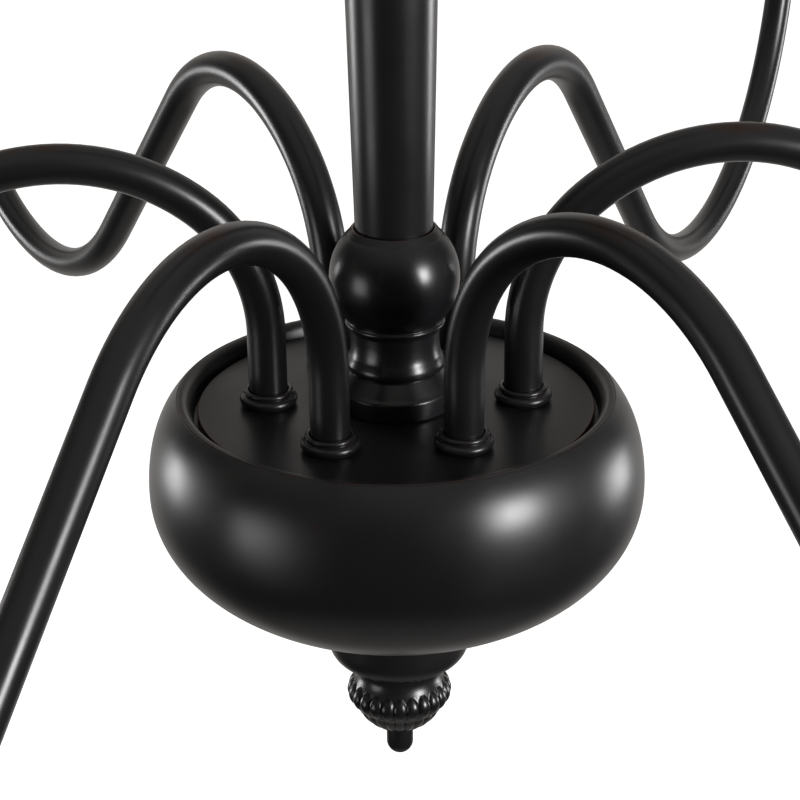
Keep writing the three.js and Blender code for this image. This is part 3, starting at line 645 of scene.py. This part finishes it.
FINIAL_H, LOBES = 20.5, 24
side_line = spline([
    (4.8, -FINIAL_H), (7.2, -19.2), (9.5, -17.3), (11.1, -15.2), (11.9, -13.5), (12.7, -12.2),
    (13.2, -10.8), (13.4, -9.2), (13.1, -7.6), (12.4, -6.0), (11.6, -4.4), (11.2, -2.9),
    (11.3, -1.6), (11.6, -0.9),
], 5)
LOBE_Z, LOBE_HALF_H, LOBE_RISE = -9.0, 3.3, 0.95
LOBE_NARROWING = 1.92  # at 2 neighbouring lobes would just touch; here they merge a little
PETAL_TOP_Z, PETAL_FADE, PETAL_DEPTH, PETAL_ROUNDNESS = -12.6, 1.2, 0.6, 0.7
PLAIN_R, PLAIN_FADE = 4.5, 2.5  # nothing is carved this close to the axis


def gadroons(angle, r, z):
    """Round lobes on the widest ring, and shallow petals on the cone below it."""
    if r < PLAIN_R:
        return r
    across = math.remainder(angle * LOBES / (2 * math.pi), 1)
    lobe = math.sqrt(max(0, 1 - (LOBE_NARROWING * across) ** 2 - ((z - LOBE_Z) / LOBE_HALF_H) ** 2))
    petal = min(1, max(0, (PETAL_TOP_Z - z) / PETAL_FADE)) * min(1, (r - PLAIN_R) / PLAIN_FADE)
    valley = 1 - abs(math.cos(math.pi * across)) ** PETAL_ROUNDNESS
    return r + LOBE_RISE * lobe - PETAL_DEPTH * petal * valley


STUD_HOLE_R, STUD_HOLE_END, PIPE_HOLE_END = 2.3, -15.2, -12.3
finial_outline = [
    (0, STUD_HOLE_END), (STUD_HOLE_R, STUD_HOLE_END), (STUD_HOLE_R, -FINIAL_H, 0.2), *side_line,
    (11.7, 0, 0.5), (HOLE_R, 0, 0.2), (HOLE_R, PIPE_HOLE_END), (0, PIPE_HOLE_END),
]
finial = turned("finial_cast", finial_outline, 384, shape=gadroons)
piece("finial_cast", finial, CAST, "hub", ["finial"], at=(0, 0, level("finial", 1)))

TIP_R, TIP_L, STUD_R, STUD_L = 3.7, 9, 2, 5
tip_outline = [
    (0, -TIP_L), *arc(0, -TIP_L + TIP_R, TIP_R, -90, 0, 14)[1:], (TIP_R, 0, 0.4),
    (STUD_R, 0, 0.2), (STUD_R, STUD_L, 0.4), (0, STUD_L),
]
tip = turned("finial_tip_turned", tip_outline, 48)
piece("finial_tip_turned", tip, CAST, "hub", ["finial_tip"],
      at=(0, 0, level("finial") - 0.3))
print("finial has", LOBES, "gadroons,", len(finial.vertices), "points")

# %% [markdown]
# ## Baluster, column and column cap
# The baluster is turned from cast bar: a base drum, a cone, a convex bead, a straight neck,
# a thin ring and a ball with a short coned collar. The column is a tapered tube that
# stands in that collar, and a turned cap closes its top. Sharp little steps between round
# forms are what makes turned work look turned, so they keep roundings of only a few tenths
# of a millimetre.

# %% Baluster, column and cap
BALL_R, BALL_Z, BALL_TOP_H, COLLAR_H = 16.6, 34.5, 11, 2
SEAT_R, SEAT_DEPTH, COLUMN_R = 10.2, 2.3, 9.85
BALL_FROM_Z = 23.5
ball_low = math.degrees(math.asin((BALL_FROM_Z - BALL_Z) / BALL_R))
ball_high = math.degrees(math.asin(BALL_TOP_H / BALL_R))
lip_z = BALL_Z + BALL_TOP_H + COLLAR_H
bead_and_neck = spline([
    (12.2, 9.8), (12.6, 10.6), (12.6, 11.7), (12.2, 12.9), (11.75, 14.0), (11.45, 15.4),
    (11.3, 17.2), (11.3, 19), (11.35, 20.6),
], 4)
baluster_outline = [
    (HOLE_R, 0, 0.2), (15.2, 0, 0.3), (15.2, 4.9, 0.6), (14.4, 5.6, 0.5),
    (11.8, 9.2, 0.1), (11.5, 9.45, 0.15), *bead_and_neck,
    (12.0, 21.6, 0.4), (12.75, 22.0, 0.3), (12.75, 22.7, 0.3), (12.3, 23.1, 0.2),
    *arc(0, BALL_Z, BALL_R, ball_low, ball_high, 30),
    (12.0, BALL_Z + BALL_TOP_H + 0.3, 0.3), (10.8, lip_z, 0.4), (SEAT_R, lip_z, 0.2),
    (SEAT_R, lip_z - SEAT_DEPTH, 0.2), (HOLE_R, lip_z - SEAT_DEPTH, 0.2),
]
# The side share is a painted reflection, the coppery sheen at the collar's left and right edges as seen
# from the front; the share all round is thin lacquer.
COLLAR_RUB, COLLAR_SIDE_SHEEN, COLLAR_BAND = 0.2, 0.4, 1.2


def collar_wipe_and_sheen(point):
    """The coned collar's lacquer is thin all round; its left and right sides get a painted coppery
    reflection.
    """
    if point.z <= BALL_Z:
        return 0
    sideways = abs(point.x) / max(1, math.hypot(point.x, point.y))
    band = math.exp(-((point.z - lip_z + 1) / COLLAR_BAND) ** 2)
    return (COLLAR_RUB + COLLAR_SIDE_SHEEN * sideways ** 6) * band


baluster = turned("baluster_turned", baluster_outline, 128, extra=collar_wipe_and_sheen)
piece("baluster_turned", baluster, CAST, "hub", ["baluster"],
      at=(0, 0, level("baluster")))

COLUMN_TOP_R, COLUMN_L, COLUMN_WALL, COLUMN_STEPS = 16.7, 300, 1.2, 12
column_steps = [(COLUMN_R + (COLUMN_TOP_R - COLUMN_R) * i / COLUMN_STEPS, COLUMN_L * i / COLUMN_STEPS)
                for i in range(1, COLUMN_STEPS)]
column_outline = [
    (COLUMN_R - COLUMN_WALL, 0, 0.3), (COLUMN_R, 0, 0.4), *column_steps,
    (COLUMN_TOP_R, COLUMN_L, 0.3), (COLUMN_TOP_R - COLUMN_WALL, COLUMN_L, 0.3),
]
column = turned("column_tapered", column_outline, 96)
piece("column_tapered", column, TUBE, "hub", ["column"], at=(0, 0, level("column")))

COLUMN_CAP_H = 30
column_cap_outline = [
    (HOLE_R, 0, 0.2), (18.6, 0, 0.4), (19.4, 0.8, 0.5), (19.4, 3.2, 0.5), (18.6, 4, 0.4),
    (16.6, 4.2, 0.3), *spline([(16.2, 4.4), (13.0, 5.1), (10.6, 6.5), (9.2, 8.9), (8.7, 10.6)], 4),
    (9.2, 11.3, 0.3), *arc(0, 18.5, 11.5, -35, 46, 24), (8.2, 27.3, 0.3), (7.6, 28.6, 0.4),
    (7.6, COLUMN_CAP_H, 0.3), (HOLE_R, COLUMN_CAP_H, 0.2),
]
column_cap = turned("column_cap_turned", column_cap_outline, 96)
piece("column_cap_turned", column_cap, CAST, "hub", ["column_cap"],
      at=(0, 0, level("column_cap")))
print("baluster", round(lip_z, 1), "mm high, column", COLUMN_L, "mm long")

# %% [markdown]
# ## The arms
# Each arm is one tube, bent in a plane on a bender with fixed radii: up from its foot, over
# a crest in two radii, down a straight run, and round a wide valley to the cup. Drawing it
# as a row of straight legs and arcs keeps the bends true, where a free spline would
# wander. All six arms share one mesh. Each foot collar is two small rolls on the plate.
# The lacquer is wiped thin on top of the crest.

# %% Arm tubes, collars and lock nuts
BORE_R = 3.8
TUBE_FOOT_Z = -10.8
# A straight leg is (None, length); a bend is (radius, degrees), and minus turns downwards.
LEGS = [(None, 30.3), (46, -49), (55.5, -86), (None, 83), (94.5, 135), (None, 26)]
LEG_PARTS = 6
CREST_Z, CROWN_HALF_H, CROWN_RUB = 72.8, 2.2, 0.62
CREST_FROM_X, CREST_TO_X = 20, 120


def bent_line(x, z, heading_deg, legs, step_deg=3):
    """(x, z) points of a tube made of straight legs and bends."""
    line, heading = [(x, z)], math.radians(heading_deg)
    for radius, amount in legs:
        if radius is None:
            for _ in range(LEG_PARTS):
                x += amount / LEG_PARTS * math.cos(heading)
                z += amount / LEG_PARTS * math.sin(heading)
                line.append((x, z))
            continue
        count = math.ceil(abs(amount) / step_deg)
        turn_step = math.radians(amount) / count
        chord = 2 * radius * math.sin(abs(turn_step) / 2)
        for _ in range(count):
            middle = heading + turn_step / 2
            x, z = x + chord * math.cos(middle), z + chord * math.sin(middle)
            heading += turn_step
            line.append((x, z))
    return line


def crown_wipe(point):
    """The lacquer is thin on the crest's top."""
    if not CREST_FROM_X < point.x < CREST_TO_X:
        return 0
    return CROWN_RUB * math.exp(-((point.z - CREST_Z) / CROWN_HALF_H) ** 2)


arm_line = bent_line(0, TUBE_FOOT_Z, 90, LEGS)
tube_hoops = hoops(arm_line, TUBE_R, 32) + hoops(arm_line, BORE_R, 32)[::-1]
arm_tube = skin("arm_tube_bent", tube_hoops, closed=True, extra=crown_wipe)
collar_outline = [
    (SLEEVED_R, 0, 0.2), (6.9, 0, 0.2), *arc(6.3, 1.2, 1.2, -60, 80, 14), (6.1, 2.6, 0.1),
    *arc(5.7, 3.2, 0.7, -40, 90, 10), (SLEEVED_R, 3.9, 0.1),
]
foot_collar = turned("foot_collar_turned", collar_outline, 64)
ARMS = range(1, 7)
arm_ends = {}
for k in ARMS:
    foot = centre(f"foot_collar_{k}")
    end = centre(f"drip_cup_{k}")
    turn = Matrix.Rotation(math.atan2(end.y - foot.y, end.x - foot.x), 4, "Z")
    arm_ends[k] = end
    body = f"arm_{k}"
    piece(f"arm_tube_bent_{k}", arm_tube, TUBE, body, [f"arm_tube_{k}"],
          (foot.x, foot.y, hub_z), turn)
    piece(f"foot_collar_turned_{k}", foot_collar, CAST, body, [f"foot_collar_{k}"],
          (foot.x, foot.y, level(f"foot_collar_{k}")))
    piece(f"arm_nut_hex_{k}", small_nut, ZINC, body, [f"arm_nut_{k}"],
          (foot.x, foot.y, level(f"arm_nut_{k}")), turn)
print("arm tube ends at", [round(c, 1) for c in arm_line[-1]], "mm from its foot")

# %% [markdown]
# ## Drip cups, candle sleeves and sockets
# The cup is a small spun dish with a rolled lip on a beaded stem. The candle sleeve is a
# plain resin tube that slips over the socket and can be lifted off. The socket is a
# phenolic body on a stem, with a drawn brass screw shell and a centre contact inside. The
# shell's thread is modelled as rolled ridges at the real pitch, as it shows from above.

# %% Cups, sleeves and sockets
CUP_STEM = 17
cup_under = spline([
    (6.9, -12.6), (7.3, -9.8), (8.6, -6.8), (11.4, -3.2), (15.4, -0.2), (18.8, 2.6), (20.2, 5.2),
], 5)
cup_outline = [
    (SLEEVED_R, -CUP_STEM, 0.2), (6.9, -CUP_STEM, 0.4), (7.0, -16.4, 0.3), (8.0, -16.1, 0.5),
    (8.6, -15, 0.8), (8.0, -13.9, 0.5), (7.0, -13.4, 0.3), *cup_under,
    (20.5, 5.8, 0.2), (21, 6.3, 0.5), (20.8, 7, 0.5), (19.9, 7, 0.5), (19.3, 6.1, 0.4),
    *spline([(18.6, 4.6), (16.6, 2.6), (13.6, 0.7), (11.6, 0.1)], 4), (SLEEVED_R, 0, 0.2),
]
drip_cup = turned("drip_cup_spun", cup_outline, 96)

SLEEVE_R, SLEEVE_WALL, SLEEVE_H, SLEEVE_STEPS = 11.5, 1.1, 88, 10
sleeve_outline = [
    (SLEEVE_R - SLEEVE_WALL, 0, 0.3), (SLEEVE_R, 0, 0.3),
    *[(SLEEVE_R, SLEEVE_H * i / SLEEVE_STEPS) for i in range(1, SLEEVE_STEPS)],
    (SLEEVE_R, SLEEVE_H, 0.45), (SLEEVE_R - SLEEVE_WALL, SLEEVE_H, 0.45),
]
sleeve = turned("candle_sleeve_moulded", sleeve_outline, 72)

SOCKET_TOP, SOCKET_BODY, MOUTH_R, MOUTH_Z = 87, 51, 6.8, 62
socket_outline = [
    (0, 6.3), (5.3, 6.3), (5.3, 0, 0.2), (7.5, 0, 0.3), (7.3, 7, 0.4), (3.5, 8.5, 0.5),
    (3.5, SOCKET_BODY, 0.4), (7.2, 52, 0.8), (8.6, 55, 0.6), (9.2, 57, 0.5), (9.2, 70, 0.2),
    (8.9, 70.4, 0.2), (8.9, 71.6, 0.2), (9.2, 72, 0.2),
    (9.2, SOCKET_TOP, 0.5), (MOUTH_R, SOCKET_TOP, 0.5), (MOUTH_R, MOUTH_Z, 0.3), (0, MOUTH_Z),
]
socket = turned("lamp_socket_moulded", socket_outline, 64)

THREAD_PITCH, THREAD_TURNS, ROWS_PER_TURN = 2.54, 7, 8
SHELL_OUTER_R, SHELL_R, SHELL_RIDGE, SHELL_ABOVE = 6.75, 6.3, 0.22, 3
shell_heights = [i * THREAD_PITCH / ROWS_PER_TURN for i in range(THREAD_TURNS * ROWS_PER_TURN + 1)]
shell_low = MOUTH_Z + SHELL_ABOVE
shell_rows = [(SHELL_R + SHELL_RIDGE * math.cos(2 * math.pi * z / THREAD_PITCH), shell_low + z)
              for z in shell_heights]
shell_outline = [(SHELL_OUTER_R, shell_rows[-1][1]), (SHELL_OUTER_R, shell_rows[0][1]), *shell_rows]
screw_shell = turned("screw_shell_drawn", shell_outline, 48)
contact_outline = [(0, 0), (2.6, 0, 0.2), (2.6, 0.5, 0.3), (1.7, 0.7, 0.4), (1.2, 1.8, 0.5), (0, 2)]
contact = turned("centre_contact_drawn", contact_outline, 32)
for k in ARMS:
    body, end = f"arm_{k}", arm_ends[k]
    raised = (end.x, end.y, level(f"lamp_socket_{k}"))
    piece(f"drip_cup_spun_{k}", drip_cup, SPUN, body, [f"drip_cup_{k}"],
          (end.x, end.y, level(f"drip_cup_{k}") + CUP_STEM))
    piece(f"candle_sleeve_moulded_{k}", sleeve, IVORY, f"sleeve_{k}",
          [f"candle_sleeve_{k}"], (end.x, end.y, level(f"candle_sleeve_{k}")))
    piece(f"lamp_socket_moulded_{k}", socket, PHENOLIC, body,
          [f"lamp_socket_{k}"], raised)
    piece(f"screw_shell_drawn_{k}", screw_shell, BRASS, body, at=raised)
    piece(f"centre_contact_drawn_{k}", contact, BRASS, body,
          at=(end.x, end.y, raised[2] + MOUTH_Z + 0.05))
print("six cups, sleeves and sockets; sleeve", 2 * SLEEVE_R, "x", SLEEVE_H, "mm")

# %% [markdown]
# ## Loops and chain
# The loops are forged rings on bored collars. The lower screw collar of the ceiling loop
# is knurled so that fingers can turn it. Chain links are bent from rod and closed with a
# butt joint in one side, so each link is a bar with two rounded ends a hair apart, and not
# a perfect ring. Every other link stands square to the next.

# %% Loops and chain links
LOOP_R, LOOP_WIRE_R, COLLAR_TOP = 14, 2.5, 13
RING_STEPS = 72
ring_angles = [2 * math.pi * i / RING_STEPS for i in range(RING_STEPS)]
ring_line = [(LOOP_R * math.sin(a), LOOP_R * math.cos(a)) for a in ring_angles]
loop_ring = skin("loop_ring_forged", hoops(ring_line, LOOP_WIRE_R, 24, closed=True), closed=True)
loop_outline = [
    (0, 10), (HOLE_R, 10, 0.2), (HOLE_R, 0, 0.2), (8.6, 0, 0.3), (9, 0.6, 0.3), (9, 1.6, 0.2),
    (8.7, 1.8, 0.2), (8.8, 2.1), (8.8, 7.9), (8.7, 8.2, 0.2), (9, 8.4, 0.2), (9, 9.2, 0.5),
    *spline([(8.6, 9.8), (7.9, 10.8), (6.4, 11.9), (5.2, 12.7)], 4),
    (4.6, COLLAR_TOP, 0.3), (0, COLLAR_TOP),
]
KNURL_DEPTH, KNURL_HALF_COUNT = 0.28, 30
GRIP_LOW, GRIP_HIGH, GRIP_R = 2, 8, 8.5


def knurl(angle, r, z):
    """Sixty straight ridges round the collar's grip."""
    if not GRIP_LOW < z < GRIP_HIGH or r <= GRIP_R:
        return r
    return r - KNURL_DEPTH * (1 - abs(math.cos(angle * KNURL_HALF_COUNT)))


loop_collar = turned("loop_collar_knurled", loop_outline, 360, shape=knurl)
RING_SUNK = 2  # the ring's wire is forged this far into the collar
RING_ABOVE = COLLAR_TOP + LOOP_R + LOOP_WIRE_R - RING_SUNK
flip = Matrix.Rotation(math.pi, 4, "X")
canopy_loop_z = level("canopy_loop", 1)
top_loop_z = level("top_loop")
piece("canopy_loop_ring", loop_ring, CHAIN, "ceiling_fixture", ["canopy_loop"],
      (0, 0, canopy_loop_z - RING_ABOVE))
piece("canopy_loop_collar", loop_collar, CHAIN, "ceiling_fixture",
      at=(0, 0, canopy_loop_z), turn=flip)
piece("top_loop_ring", loop_ring, CHAIN, "hub", ["top_loop"],
      (0, 0, top_loop_z + RING_ABOVE))
piece("top_loop_collar", loop_collar, CHAIN, "hub", at=(0, 0, top_loop_z))

LINK_BEND_R, LINK_HALF, LINK_WIRE_R = 10, 8, 2
half_turns = arc(0, LINK_HALF, LINK_BEND_R, 0, 180, 24)
half_turns += [(-x, -z) for x, z in half_turns]
butt = [(LINK_BEND_R, 0.15), (LINK_BEND_R, 0.16), (LINK_BEND_R, 0.5), (LINK_BEND_R, 3)]
link_line = butt + half_turns + [(x, -z) for x, z in butt[::-1]]
BUTT_R = 1.6  # the rod's ends are a little chamfered
link_radii = [0, BUTT_R] + [LINK_WIRE_R] * (len(link_line) - 4) + [BUTT_R, 0]
link = skin("chain_link_bent", hoops(link_line, link_radii, 24), closed=False)
for k in (1, 2, 3):
    halfway = (level(f"chain_link_{k}") + level(f"chain_link_{k}", 1)) / 2
    quarter = Matrix.Rotation(math.pi / 2 if k != 2 else 0, 4, "Z")
    piece(f"chain_link_bent_{k}", link, CHAIN, f"link_{k}", [f"chain_link_{k}"],
          (0, 0, halfway), quarter)
print("chain link", 2 * (LINK_HALF + LINK_BEND_R + LINK_WIRE_R), "mm long with a butt joint")

# %% [markdown]
# ## Canopy
# The ceiling canopy is a spun saucer with a straight rim, a small roll where the dome
# starts and a flat pad where the loop's collar clamps it to the nipple. The nipple under
# it is short threaded pipe. Its thread is cut as ridges, because its end shows through the
# crossbar from above. The pipe, the wires inside the hub and the earth screw keep the
# frame's own meshes, since nobody sees them on a hanging lamp, and only their finish is
# set here.

# %% Canopy, nipple and the pieces that stay as they are
DOME_R, DOME_DROP, PAD_R, RIM_H, CANOPY_R = 60.5, 21, 16, 4, 63.5
PAD_Z = -RIM_H - DOME_DROP


def dome(inset, count=28):
    """The saucer's curve from its pad out to its rim."""
    angles = [math.pi / 2 * (1 - i / count) for i in range(count + 1)]
    width, drop = DOME_R - inset - PAD_R, DOME_DROP - inset
    return [(PAD_R + width * math.cos(a), -RIM_H - drop * math.sin(a)) for a in angles]


canopy_outline = [
    (HOLE_R, PAD_Z, 0.2), (PAD_R - 1.4, PAD_Z, 0.3), (PAD_R - 0.6, PAD_Z + 0.4, 0.3), *dome(0)[1:-1],
    (60.6, -RIM_H - 0.6, 0.2), (61.3, -RIM_H - 0.9, 0.4), (62, -RIM_H - 0.4, 0.3),
    (62.5, -RIM_H, 0.2), (CANOPY_R, -RIM_H + 0.2, 0.7), (CANOPY_R, 0, 0.3),
    (CANOPY_R - SHEET, 0, 0.3), (CANOPY_R - SHEET, -RIM_H + SHEET, 0.5),
    *dome(SHEET)[::-1], (HOLE_R, PAD_Z + SHEET, 0.2),
]
canopy = turned("canopy_spun", canopy_outline, 160)
piece("canopy_spun", canopy, SPUN, "ceiling_fixture", ["canopy"],
      at=(0, 0, level("canopy", 1)))

nipple_length = level("canopy_nipple", 1) - level("canopy_nipple")
NIPPLE_BORE_R, NIPPLE_END_R, NIPPLE_RIDGE = 3, PIPE_R - 0.4, 0.14
quarter_turns = int(nipple_length / NIPPLE_PITCH * 4)
thread_rows = [(PIPE_R - NIPPLE_RIDGE * (1 - math.cos(math.pi / 2 * i)), NIPPLE_PITCH / 4 * i)
               for i in range(1, quarter_turns)]
nipple_outline = [
    (NIPPLE_BORE_R, 0, 0.2), (NIPPLE_END_R, 0, 0.1), *thread_rows,
    (NIPPLE_END_R, nipple_length, 0.1), (NIPPLE_BORE_R, nipple_length, 0.2),
]
nipple = turned("canopy_nipple_cut", nipple_outline, 40)
piece("canopy_nipple_cut", nipple, ZINC, "ceiling_fixture", ["canopy_nipple"],
      at=(0, 0, level("canopy_nipple")))

kept = {"ground_screw": ZINC, "threaded_pipe": ZINC_THREAD, "hub_harness": JACKET}
for name, finish in kept.items():
    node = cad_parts[name]
    node.data.materials.clear()
    node.data.materials.append(finish)
print("canopy", 2 * CANOPY_R, "mm wide; kept", list(kept))

# %% [markdown]
# ## Floor and studio light
# The lamp hangs clear of everything, so the floor lies well below it and only gives a pale
# ground. A dark glossy object is lit by what it mirrors. A pale sweep behind it draws the
# bright rims, the ground and the ceiling give a dim sheen, and four softboxes draw the
# broad highlights on the bowl and the ball. The rest of the room stays dark, so that the
# black stays black. The world shows plain white in the background and this room to every
# other ray. The floor is left out of the reflections, since the room stands for it there.

# %% Floor, world and softboxes
FLOOR_Z, FLOOR_HALF = -1.5, 30
floor_form = bpy.data.meshes.new("studio_floor")
floor_body = bmesh.new()
bmesh.ops.create_grid(floor_body, x_segments=1, y_segments=1, size=FLOOR_HALF)
floor_body.to_mesh(floor_form)
floor_body.free()
floor = bpy.data.objects.new("studio_floor", floor_form)
floor.location.z = FLOOR_Z
floor.visible_glossy = False
floor.visible_diffuse = False
floor.visible_transmission = False
bpy.context.scene.collection.objects.link(floor)
paper = new_finish("pale_paper_floor", {
    "Base Color": linear("#f2f2f0"), "Roughness": 0.8,
    "Emission Color": linear("#ffffff"), "Emission Strength": 0.88,
})[0]
floor_form.materials.append(paper)

world = bpy.data.worlds.new("studio")
bpy.context.scene.world = world
world.use_nodes = True
room = world.node_tree
room.nodes.clear()
direction = add(room, "TexCoord").outputs["Generated"]
split = add(room, "SeparateXYZ", {"Vector": direction})


def fade(value, start, end, high=1.0):
    """0 at start, rising smoothly to high at end."""
    return add(room, "MapRange", {
        "Value": value, "From Min": start, "From Max": end, "To Max": high,
    }, interpolation_type="SMOOTHSTEP").outputs[0]


def combine(operation, one, other):
    """One of the Math node's operations on two values."""
    return add(room, "Math", {0: one, 1: other}, operation=operation).outputs[0]


SWEEP_GLOW, GROUND_GLOW, CEILING_GLOW, ROOM_GLOW = 0.58, 0.2, 0.35, 0.05
towards_back, upwards = split.outputs["Y"], split.outputs["Z"]
sideways = add(room, "Math", {0: split.outputs["X"]}, operation="ABSOLUTE").outputs[0]
behind = combine("MULTIPLY", fade(towards_back, 0.3, 0.75), fade(upwards, 0.85, 0.2))
sweep = combine("MULTIPLY", behind, fade(sideways, 0.85, 0.45, SWEEP_GLOW))
ground = fade(upwards, -0.8, -0.97, GROUND_GLOW)
ceiling = fade(upwards, 0.25, 0.95, CEILING_GLOW)
brightest = combine("MAXIMUM", combine("MAXIMUM", sweep, ground), ceiling)
glow = combine("ADD", brightest, ROOM_GLOW)
seen = add(room, "LightPath").outputs["Is Camera Ray"]
room_light = add(room, "Background", {"Strength": glow, "Color": linear("#fdf8f3")}).outputs[0]
backdrop = add(room, "Background", {"Strength": 1.0, "Color": linear("#fefefe")}).outputs[0]
mixed = add(room, "MixShader", {0: seen, 1: room_light, 2: backdrop}).outputs[0]
add(room, "OutputWorld", {"Surface": mixed})

SOFTBOXES = {  # direction from the hub, size in metres, watts
    "front_right": ((0.745, -0.585, 0.22), 0.5, 28),
    "front_left": ((-0.88, -0.46, -0.11), 0.6, 4.5),
    "back_left": ((-0.89, 0.44, -0.11), 0.38, 6.3),
    "back_right": ((0.9, 0.43, -0.14), 0.38, 6),
}
LAMP_DISTANCE = 1.6
hub_centre = Vector((0, 0, plate_top))
for name, (towards, size, watts) in SOFTBOXES.items():
    lamp = bpy.data.objects.new(name, bpy.data.lights.new(name, "AREA"))
    lamp.data.shape = "SQUARE"
    lamp.data.size = size
    lamp.data.energy = watts
    unit = Vector(towards).normalized()
    lamp.location = hub_centre + unit * LAMP_DISTANCE
    lamp.rotation_euler = unit.to_track_quat("Z", "Y").to_euler()
    lamp.visible_camera = False
    bpy.context.scene.collection.objects.link(lamp)
bpy.context.scene.view_settings.view_transform = "Standard"
print("softboxes", list(SOFTBOXES), "floor at", FLOOR_Z, "m")
